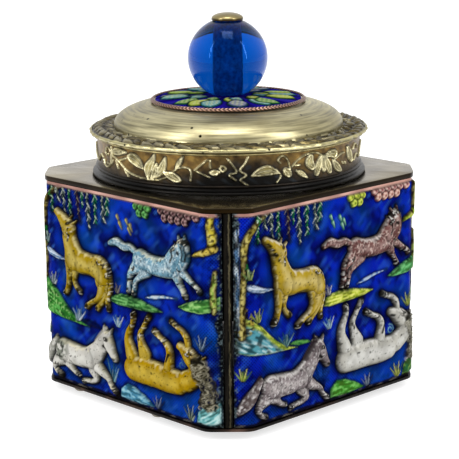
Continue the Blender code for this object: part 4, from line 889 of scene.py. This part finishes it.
# Petals and leaves: chains whose outline is a raised wire round a lower, veined middle
LEAVES = (
    [(-58.5, 5.3, 0.1), (-55.0, 6.0, 0.8), (-51.5, 6.2, 0.7), (-47.5, 6.3, 0.1)],
    [(-45.5, 5.4, 0.5), (-43.0, 5.2, 1.2), (-40.0, 4.3, 1.0), (-37.2, 3.0, 0.15)],
    [(-34.6, 0.9, 0.2), (-34.6, 3.2, 1.1), (-32.6, 5.2, 0.7), (-31.4, 7.0, 0.1)],
    [(-33.0, 0.9, 0.2), (-31.0, 2.4, 0.9), (-30.6, 3.8, 0.5), (-30.4, 4.6, 0.1)],
    [(-32.4, 0.9, 0.2), (-28.6, 2.8, 0.9), (-27.2, 4.6, 0.7), (-26.2, 6.4, 0.1)],
    [(-26.0, 2.4, 0.4), (-23.6, 1.9, 0.9), (-21.4, 1.3, 0.8), (-19.8, 0.9, 0.3)],
    [(-21.4, 3.6, 0.15), (-20.0, 5.2, 0.5), (-18.4, 6.8, 0.1)],
    [(-6.6, 3.1, 0.25), (-5.0, 3.1, 0.6), (-3.2, 3.3, 0.15)],
    [(10.2, 2.2, 0.1), (13.4, 3.0, 0.9), (17.0, 3.3, 1.1), (21.4, 2.6, 0.15)],
    [(24.4, 3.0, 0.5), (25.4, 2.5, 0.9), (26.0, 2.0, 0.7)],
    [(29.6, 2.6, 0.1), (32.0, 1.8, 0.6), (34.8, 0.6, 0.15)],
    [(36.6, 5.6, 0.7), (36.0, 4.4, 1.1), (37.4, 3.2, 0.8)],
    [(42.2, 5.4, 0.2), (40.6, 3.0, 0.9), (39.9, 1.3, 0.6)],
    [(43.2, 5.4, 0.2), (43.6, 3.4, 0.75), (44.0, 1.8, 0.4)],
    [(44.2, 5.4, 0.2), (46.4, 3.0, 0.9), (47.6, 1.3, 0.6)],
    [(45.2, 5.2, 0.2), (48.4, 5.6, 0.8), (50.6, 5.4, 1.0)],
    [(50.0, 3.6, 0.3), (52.4, 2.0, 0.9), (54.8, 0.9, 0.5)],
    [(61.6, 5.8, 0.5), (63.2, 4.0, 1.1), (65.0, 2.4, 0.5)],
)
# Stems, tendrils and engraved figures: chains of raised wire
STEMS = (
    [(-61.4, 4.9), (-62.6, 4.4), (-64.0, 5.0), (-63.2, 6.2), (-60.6, 6.4), (-58.4, 5.0), (-59.2, 2.6),
     (-62.0, 1.4), (-65.0, 1.8), (-66.0, 3.0)], [(-58.6, 7.0), (-57.4, 5.2)],
    [(-62.6, 2.6), (-60.4, 2.2), (-58.2, 2.6), (-57.2, 3.6)],
    [(-57.8, 4.9), (-52.0, 3.6), (-46.0, 1.6), (-38.0, 0.6), (-30.0, 0.6), (-26.0, 1.4)],
    [(-52.6, 3.9), (-47.4, 4.9)], [(-54.6, 3.8), (-52.8, 1.8)], [(-48.2, 1.9), (-46.0, 0.4)],
    [(-24.4, 2.2), (-21.4, 3.6)], [(-20.4, 4.0), (-16.6, 4.2), (-15.0, 3.2), (-15.2, 1.0)],
    [(-13.4, 3.6), (-10.6, 5.0), (-8.6, 6.0), (-7.0, 6.2), (-6.8, 4.4)], [(-12.6, 3.4), (-7.4, 2.0)],
    [(-3.0, 4.1), (-1.8, 3.4), (-0.6, 4.1), (-1.8, 4.8), (-3.0, 4.1)],
    [(0.2, 6.6), (3.8, 3.4), (1.4, 2.8), (0.9, 2.3)],
    [(8.6, 7.0), (7.4, 5.4), (5.2, 3.6), (7.8, 2.4), (5.4, 1.2), (8.6, -0.2)], [(0.9, 2.4), (3.4, 1.2)],
    [(20.4, 3.4), (22.4, 1.8), (20.6, 0.2)],
    [(22.2, 5.0), (21.2, 5.8), (23.2, 6.8), (25.6, 5.4), (26.6, 3.2)],
    [(27.4, 3.8), (31.0, 5.6), (35.6, 6.6), (40.0, 6.5), (43.4, 5.4)], [(29.0, 4.0), (31.2, 4.1)],
    [(50.8, 3.9), (55.6, 4.9), (58.0, 5.0)], [(56.6, 2.8), (57.2, 2.2)], [(58.8, 2.6), (59.2, 2.0)],
    [(66.6, 5.0), (70.0, 6.2), (73.0, 4.8)],
    [(68.0, 2.0), (72.0, 3.4), (76.0, 2.2), (80.0, 4.4), (84.0, 5.6)],
    [(-84.0, 5.6), (-80.0, 3.0), (-74.0, 2.0), (-70.0, 4.0), (-67.0, 3.4)],
)
cover("3d2f1c")
wires = fields = np.full(across.shape, FAR)
for points in LEAVES:
    points = [(a * round_mm, v, r) for a, v, r in points]
    distance = limb(points)
    fields = np.minimum(fields, distance)
    wires = np.minimum(wires, abs(distance + 0.1) - 0.2)
    wires = np.minimum(wires, limb([(x, y, 0.02) for x, y, _ in points]) - 0.06)
for points in STEMS:
    wires = np.minimum(wires, limb([(a * round_mm, v, 0.17) for a, v in points]))
on_band = (abs(radius - ground) < 0.00005) & (up > 0.02) & (up < BAND_MM - 0.02)
inside = np.clip(-fields / 0.4, 0, 1)
raised = np.clip(0.5 - wires / 0.16, 0, 1)
height = np.maximum(0.24 * inside, 0.46 * raised) * on_band
# Patina: pits and dark film low down and over the middle of the front, warm gold elsewhere
patina = np.clip(0.62 + 0.5 * np.exp(-((degrees - 8) / 22) ** 2) - up / BAND_MM * 0.7, 0, 1)
hammered = 0.5 + 0.25 * np.sin(across * 1.9 + 3 * np.sin(up * 0.9))
hammered += 0.25 * np.sin(up * 2.3 + across * 0.8)
hammered += np.random.default_rng(61).random(len(across)) * 0.2 - 0.1
for code, distance, soft, amount in (
        ("664e26", patina - 0.40, 0.3, 1.0),
        ("94783c", np.maximum(patina - 0.3, 0.55 - hammered), 0.4, 0.6),
        ("0c0a08", 0.60 - patina, 0.25, 0.95),
        ("39424a", np.maximum(0.62 - patina, 0.80 - hammered), 0.2, 0.5),
        ("0c0804", abs(fields - 0.2) - 0.24, 0.12, 0.9), ("9c9058", fields + 0.12, 0.15, 0.95),
        ("d6ca94", np.maximum(fields + 0.3, 0.5 - hammered), 0.3, 0.75),
        ("0c0804", wires - 0.16, 0.14, 0.75)):
    paint(code, distance, soft, amount)
paint("ece2b4", wires, 0.1, 0.98)
dim = np.clip(patina * 1.1 - 0.5, 0, 0.6)
pictures[0] *= (1 - dim)[:, None]
off_band = ~((up > -0.05) & (up < BAND_MM + 0.05) & (radius > ground - 0.00005))
pictures[0][off_band] = linear("b3a676")
pictures[0][off_band & (up < 0.0)] = linear("1c1610")
pictures[0][off_band & (up < -0.9)] = linear("0c0a08")
coat = shape.verts.layers.float_color.new("patina")
for vert, out, colour, r in zip(shape.verts, height, pictures[0], radius):
    vert.co.xy *= (r + out / 1000) / r
    vert[coat] = (*colour, 1.0)
collar_brass = finish("patinated_relief_brass", Metallic=0.85, Roughness=0.36)
# Brass whose film is thick in the sunk ground and rubbed off on the raised lines
film = node(collar_brass, "VertexColor", layer_name="patina")
cloud = node(collar_brass, "ValToRGB", (0.3, "8c8c8c"), (0.65, "ffffff"),
             Fac=mottled(collar_brass, 2.381, 5.0))
link(collar_brass, node(collar_brass, "Mix", **DARKEN, A_Color=film, B_Color=cloud).outputs[2],
     "Base Color")
link(collar_brass, node(collar_brass, "Bump", Height=mottled(collar_brass, 0.5556, 3.0), Strength=0.4,
                        Distance=0.0002), "Normal")
piece("vine_collar", shape, [collar_brass], "brass", "collar", crease=60)


# Lid: spun brass dome with a raised wreath of leaves round its rim and a sleeve below.  The
# dome is brushed round the axis; the wreath's hollows are dark, its leaves pale gold.
LID_STEPS = 900
low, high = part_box("lid")
rim, seat_z = high.x, high.z
spring, lid_z = 0.0702, 0.0690
dome, seat, wall = 0.0299, 0.0206, 0.0009
FULLNESS = 2.6                         # power of the dome's curve
rise = (seat_z - spring) / (1 - (seat / dome) ** FULLNESS) ** (1 / FULLNESS)
sleeve = bore - 0.0004
roll = 0.0005
pin, pin_gap = 0.0023, 0.0003
pin_hole = pin + pin_gap


def curve(inset, first, steps):
    """Points on the dome's full curve from a first radius down to its foot."""
    power = 2 / FULLNESS
    angles = np.linspace(math.acos((first / (dome - inset)) ** (1 / power)), 0, steps + 1)
    return [((dome - inset) * math.cos(a) ** power, spring + (rise - inset) * math.sin(a) ** power)
            for a in angles]


width = rim - roll - dome
slope = lid_z + 2 * roll - spring
moulding = [(dome + width * i / 26, spring + 0.0003 * math.sin(math.pi * i / 26) + slope * i / 26)
            for i in range(1, 27)]
turns = [math.pi / 2 - math.pi * i / 8 for i in range(1, 9)]
edge = [(rim - roll + roll * math.cos(a), lid_z + roll + roll * math.sin(a)) for a in turns]
under = [(sleeve, lid_z), (sleeve, low.z), (sleeve - wall, low.z), (sleeve - wall, lid_z + wall / 2)]
profile = [(pin_hole, seat_z)] + curve(0, seat, 24) + moulding + edge + under
profile += list(reversed(curve(wall, seat - wall, 6))) + [(pin_hole, seat_z - wall)]
shape = turned(profile, LID_STEPS)
spots = np.array([v.co for v in shape.verts])
radius = np.hypot(spots[:, 0], spots[:, 1])
degrees = np.degrees(np.arctan2(spots[:, 1], spots[:, 0])) + 45
degrees = (degrees + 180) % 360 - 180
rim_mm = math.radians(1) * (rim - 0.003) * 1000
on_rim = (radius > dome + 0.0001) & (spots[:, 2] > lid_z + 1.3 * roll)
# The wreath's drawing: distance round the rim, and from its outer to its inner edge
across, up = degrees * rim_mm, (rim - roll - radius) * 1000
pictures = blank()
height = np.full(across.shape, -0.3)
cover("c2ba94")
paint("241a10", np.where(on_rim, -FAR, FAR))
drawn = np.random.default_rng(62)
LEAF_STEP = 3.4                        # round the rim from one pair of leaves to the next
for i in range(int(360 * rim_mm / LEAF_STEP)):
    for way in (1, -1):
        x, y = i * LEAF_STEP - 180 * rim_mm, 2.9 + drawn.uniform(-0.4, 0.4)
        reach, out = drawn.uniform(4.6, 6.4), drawn.uniform(1.4, 2.6) * way
        leaf = limb([(x, y, 0.3), (x + reach * 0.45, y + out * 0.8, drawn.uniform(0.9, 1.4)),
                     (x + reach, y + out * 1.1, 0.08)])
        seen = np.where(on_rim & (up < 5.7), leaf, FAR)
        paint("120c06", seen - 0.3, 0.15, 0.95)
        paint(("8c8058", "5c5236", "b8ae80", "766a46")[(i * 2 + way) % 4], seen, 0.12)
        paint("efe8c4", np.maximum(seen + 0.35, 0.5 - drawn.random()), 0.3, 0.4)
        rib = limb([(x, y, 0.04), (x + reach * 0.8, y + out, 0.02)], False)
        paint("3c2e1c", np.maximum(seen, rib - 0.06), 0.1, 0.8)
        shaped = 0.55 * np.clip(-leaf / 0.6, 0, 1) - 0.2
        shaped -= 0.25 * np.exp(-(np.maximum(rib, 0) / 0.15) ** 2)
        height = np.where(leaf < 0, shaped, height)
edge_line = np.where(on_rim, up - 0.05, FAR)
paint("1c140c", edge_line - 0.2, 0.12, 0.8)
paint("cfc694", edge_line, 0.1)
height = np.where(up < 0.05, 0.0, height) * np.clip((radius - dome) * 1000 / 0.4, 0, 1)
coat = shape.verts.layers.float_color.new("patina")
# Leaf tips make the rim's outline uneven by up to 0.2 mm
bearings = np.radians(degrees)
tips = 0.6 * np.sin(bearings * 47 + 2 * np.sin(bearings * 5)) + 0.4 * np.sin(bearings * 73 + 1)
tips *= np.clip((radius - rim + 0.0010) / 0.0008, 0, 1) * 0.0002
for vert, rise_mm, colour, on, r, tip in zip(shape.verts, height, pictures[0], on_rim, radius, tips):
    vert.co.z += rise_mm / 1000 * on
    vert.co.xy *= 1 + tip / r
    vert[coat] = (*colour, 1.0)
lid_brass = finish("brushed_lid_brass", Metallic=1.0, Roughness=0.34)
# Spun brass: brushed round the axis, clouded grey-gold, with a few dark pits.  The brushing is
# as wide as it needs to show, and drawn out along the turn by the small share of the angle
BRUSH_MM = 0.6667
PIT_SPACING_MM = 5.263
place = node(lid_brass, "TexCoord").outputs["Object"]
x, y, z = node(lid_brass, "SeparateXYZ", Vector=place).outputs
angle = node(lid_brass, "Math", operation="ARCTAN2", Value=y, Value_001=x)
along = node(lid_brass, "Math", operation="MULTIPLY", Value=angle, Value_001=0.0016)
flat_place = node(lid_brass, "CombineXYZ", X=x, Y=y)
away = node(lid_brass, "VectorMath", operation="LENGTH", Vector=flat_place).outputs["Value"]
ringed = node(lid_brass, "CombineXYZ", X=along, Y=away, Z=z)
lines = node(lid_brass, "TexNoise", Vector=ringed, Scale=1000 / BRUSH_MM, Detail=4.0)
pits = node(lid_brass, "TexVoronoi", Vector=place, Scale=1000 / PIT_SPACING_MM)
tone = node(lid_brass, "VertexColor", layer_name="patina").outputs[0]
for source, dark, pale in ((mottled(lid_brass, 16.667, 5.0), (0.3, "c4c0b4"), (0.65, "ffffff")),
                           (lines, (0.3, "a4a4a0"), (0.6, "ffffff")),
                           (pits, (0.05, "1c140c"), (0.09, "ffffff"))):
    film = node(lid_brass, "ValToRGB", dark, pale, Fac=source)
    tone = node(lid_brass, "Mix", **DARKEN, A_Color=tone, B_Color=film).outputs[2]
link(lid_brass, tone, "Base Color")
link(lid_brass, node(lid_brass, "MapRange", Value=lines, To_Min=0.26, To_Max=0.5), "Roughness")
link(lid_brass, node(lid_brass, "Bump", Height=lines, Strength=0.2, Distance=0.0001), "Normal")
piece("domed_lid", shape, [lid_brass], "brass", "lid", crease=60)


# Medallion: a thin domed copper disc under enamel, violet-blue with leaves and petals in
# lime, green and aqua round the knob.  Turned finely and raised by its drawing.
DISC_THICK = 0.0006                    # at its edge
low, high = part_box("medallion")
outer = high.x
disc_rows = 64
edge_z = low.z + DISC_THICK
profile = [(pin_hole + (outer - pin_hole) * i / disc_rows,
            edge_z + (high.z - edge_z) * (1 - (i / disc_rows) ** 2)) for i in range(disc_rows + 1)]
profile += [(outer, low.z), (pin_hole, low.z)]
shape = turned(profile, 400)
spots = np.array([v.co for v in shape.verts])
across, up = spots[:, 0] * 1000, spots[:, 1] * 1000
radius = np.hypot(across, up)
pictures = blank()
height = np.zeros(across.shape)
cover("1c1484")
bearing = np.degrees(np.arctan2(up, across))
paint("3c3a9c", 0.4 * np.sin(bearing * 0.21) + 0.25, 0.5, 0.7)
paint("05052c", 0.5 * np.sin(bearing * 0.35 + 1.0) + 0.2, 0.4, 0.7)
PETALS = ("b4dc2c", "5cb4d4", "d4e43c", "4fa044", "7cc8d4", "6c6cc0")
for count, near, far, size, first in ((14, 6.6, 11.0, 1.7, 4.0), (17, 10.4, 17.6, 2.6, -34.4)):
    for i in range(count):
        turn = math.radians(i * 360 / count + first)
        sway = 0.16 * math.sin(i * 2.3)
        chain = ((near, turn, 0.3), ((near + far) / 2, turn + sway, size), (far, turn + sway / 2, 0.3))
        petal = limb([(reach * math.cos(a), reach * math.sin(a), half) for reach, a, half in chain])
        lift(petal, 0.4, 1.0)
        paint("04041c", petal - 0.35, 0.25, 0.9)
        paint("143c24", petal, 0.15)
        paint(PETALS[(i * 5 + count) % 6], petal + 0.35, 0.25)
        dabs = 0.3 * np.sin(across * 4 + i) * np.cos(up * 3.6) - 0.08
        paint("eef4b4", np.maximum(petal + 0.6, dabs), 0.25, 0.7)
        veins = 0.2 - abs(np.sin(across * 2.1 - up * 1.7 + i))
        paint("0c2418", np.maximum(petal + 0.2, veins), 0.15, 0.5)
uv = shape.loops.layers.uv.new("drawing")
coat = shape.verts.layers.float_color.new("enamel")
for vert, out, colour, r in zip(shape.verts, height, pictures[0], radius):
    vert.co.z += out / 1000 * (vert.co.z > low.z + DISC_THICK / 2) * min(1.0, (outer * 1000 - r) / 0.6)
    vert[coat] = (*colour, 0.0)
for face in shape.faces:
    for loop in face.loops:
        loop[uv].uv = loop.vert.co.xy * 1000
disc_enamel = enamel.copy()
disc_enamel.name = "matt_disc_enamel"
# The panels' enamel with its gloss worn off by hands
disc_enamel.node_tree.nodes["Principled BSDF"].inputs["Specular IOR Level"].default_value = 0.0
piece("enamelled_medallion", shape, [disc_enamel], "medallion_enamel", "medallion", crease=60)


# Rope ring: two twisted copper wires soldered one outside the other round the medallion,
# pink on the crests and dark between the strands.
low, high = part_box("rope_ring")
TUBE = 0.00034                         # radius of each wire
WIRE_STEP = 0.0003                     # the inner wire lies this far in from the outer, and higher
groove, crest_pink = linear("140a08"), linear("b08c7c")
turns = [2 * math.pi * j / 10 for j in range(10)]
wire_mesh = bpy.data.meshes.new("wire")
shape = bmesh.new()
for major, middle_z, twists in ((high.x - TUBE - WIRE_STEP, high.z - TUBE, 62),
                                (high.x - TUBE, low.z + TUBE, -56)):
    profile = [(major + TUBE * math.cos(a), middle_z + TUBE * math.sin(a)) for a in turns]
    wire = turned(profile, 1080)
    coat = wire.verts.layers.float_color.new("patina")
    for vert in wire.verts:
        turn = math.atan2(vert.co.y, vert.co.x)
        out, rise_z = vert.co.xy.length - major, vert.co.z - middle_z
        crest = abs(math.cos(math.atan2(rise_z, out) - twists * turn))
        thick = 0.75 + 0.25 * crest
        vert.co.xy *= (major + out * thick) / (major + out)
        vert.co.z = middle_z + rise_z * thick
        vert[coat] = (*(groove + (crest_pink - groove) * crest ** 3), 1.0)
    wire.to_mesh(wire_mesh)
    wire.free()
    shape.from_mesh(wire_mesh)
bpy.data.meshes.remove(wire_mesh)
rope_copper = finish("twisted_copper_wire", Metallic=1.0, Roughness=0.35)
# Pink copper crests over dark grooves, from the colour laid on the strands
link(rope_copper, node(rope_copper, "VertexColor", layer_name="patina"), "Base Color")
piece("twisted_rope_ring", shape, [rope_copper], "copper", "rope_ring", crease=60)


# Bead: a clear blue glass ball, very smooth, with a drilled bore that the pin passes through
# and a small flat ground on its foot, where it stands on the medallion.
low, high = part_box("glass_bead")
ball, bead_foot = 0.0104, 0.0045
ball_z = high.z - math.sqrt(ball ** 2 - pin_hole ** 2)      # the bore cuts the ball's top off
first, last = math.acos(pin_hole / ball), -math.acos(bead_foot / ball)
turns = np.linspace(first, last, 41)
profile = [(ball * math.cos(a), ball_z + ball * math.sin(a)) for a in turns]
profile += [(bead_foot - 0.0002, low.z), (pin_hole, low.z)]
blue_glass = finish("clear_blue_glass", Base_Color=tint("0348a4"), Roughness=0.0, IOR=1.5,
                    Transmission_Weight=1.0, Specular_Tint=tint("185088"))
# Polished glass, blue through its whole depth, with blue reflections
bore_glass = finish("ground_bore_glass", Roughness=0.6, Specular_IOR_Level=0.1)
# The drilled bore was never polished: dull blue-green that shows dark through the glass
link(bore_glass, node(bore_glass, "ValToRGB", (0.3, "145c6c"), (0.5, "1c748c"), (0.7, "2488a8"),
                      Fac=mottled(bore_glass, 0.769, 5.0)), "Base Color")
shape = turned(profile, 96)
for face in shape.faces:
    face.material_index = int(face.calc_center_median().xy.length < pin_hole * 1.001)
piece("blue_glass_bead", shape, [blue_glass, bore_glass], "glass", "glass_bead", crease=50)


# Knob pin: one turned brass pin with a low domed cap over the bead.  It passes through the
# bead, the medallion and the lid, and a head inside the lid holds them together.
low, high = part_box("knob_pin")
cap = high.x
head = 0.0038                          # radius of the head inside the lid
head_z = seat_z - wall - pin_gap
cap_low, cap_inner = (ball_z + math.sqrt(ball ** 2 - r ** 2) + pin_gap for r in (cap, pin))
cap_edge = cap_low + 0.0004
turns = [math.pi / 2 * (1 - i / 12) for i in range(1, 13)]
profile = [(0, high.z)]
profile += [(cap * math.cos(a), cap_edge + (high.z - cap_edge) * math.sin(a)) for a in turns]
profile += [(cap, cap_low), (pin, cap_inner), (pin, head_z), (head, head_z), (head, low.z), (0, low.z)]
cap_brass = brushed("rubbed_cap_brass", ((0.3, "52462a"), (0.5, "8c7f58"), (0.7, "b8ac84")),
                    (1, 1, 1), 0.3)
# Warm brass, darker on its sides than on top, clouded, without a direction to its fine scratches
piece("knob_pin_and_cap", turned(profile, 64, closed=False), [cap_brass], "brass", "knob_pin", crease=30)


# Room: a plain pale floor that shows only a faint shadow, soft boxes from above and both
# sides, and an even white world.
bpy.ops.mesh.primitive_plane_add(size=6.0)
floor = bpy.context.object
floor.name = "floor"
floor_white = finish("white_floor", Base_Color=tint("bebebe"), Roughness=0.9,
                     Emission_Color=tint("ffffff"), Emission_Strength=0.64)
floor.data.materials.append(floor_white)
# Matt white card, lit a little from below
world = bpy.data.worlds.new("studio")
world.use_nodes = True
world.node_tree.nodes["Background"].inputs["Color"].default_value = tint("ffffff")
world.node_tree.nodes["Background"].inputs["Strength"].default_value = 1.0
bpy.context.scene.world = world


def placed(made, azimuth, elevation, distance, aim):
    """Put a lamp or the camera in the scene, looking at a height on the axis."""
    a, e = math.radians(azimuth), math.radians(elevation)
    back = Vector((math.sin(a) * math.cos(e), -math.cos(a) * math.cos(e), math.sin(e)))
    new = bpy.data.objects.new(made.name, made)
    bpy.context.scene.collection.objects.link(new)
    new.location = Vector((0, 0, aim)) + back * distance
    new.rotation_euler = back.to_track_quat("Z", "Y").to_euler()
    return new


for name, azimuth, elevation, size, power in (
        ("key_softbox", -8.0, 28.0, (0.05, 0.50), 2.2), ("side_softbox", 100.0, 28.0, (0.05, 0.50), 2.1),
        ("top_softbox", 45.0, 76.0, (0.25, 0.25), 2.0)):
    light = bpy.data.lights.new(name, "AREA")
    light.shape = "RECTANGLE"
    light.size, light.size_y = size
    light.energy = power
    placed(light, azimuth, elevation, 0.60, 0.045)

# Camera: the photograph's viewing angle, almost level, facing the front right corner, with
# the slight roll of the photograph
lens = bpy.data.cameras.new("camera")
lens.lens = 138.96
lens.sensor_width = 36.0
camera = placed(lens, 45.72, 12.95, 0.4696, 0.0420)
roll_back = Matrix.Rotation(math.radians(-0.59), 3, "Z")
camera.rotation_euler = (camera.rotation_euler.to_matrix() @ roll_back).to_euler()
bpy.context.scene.camera = camera
bpy.context.scene.view_settings.view_transform = "Standard"
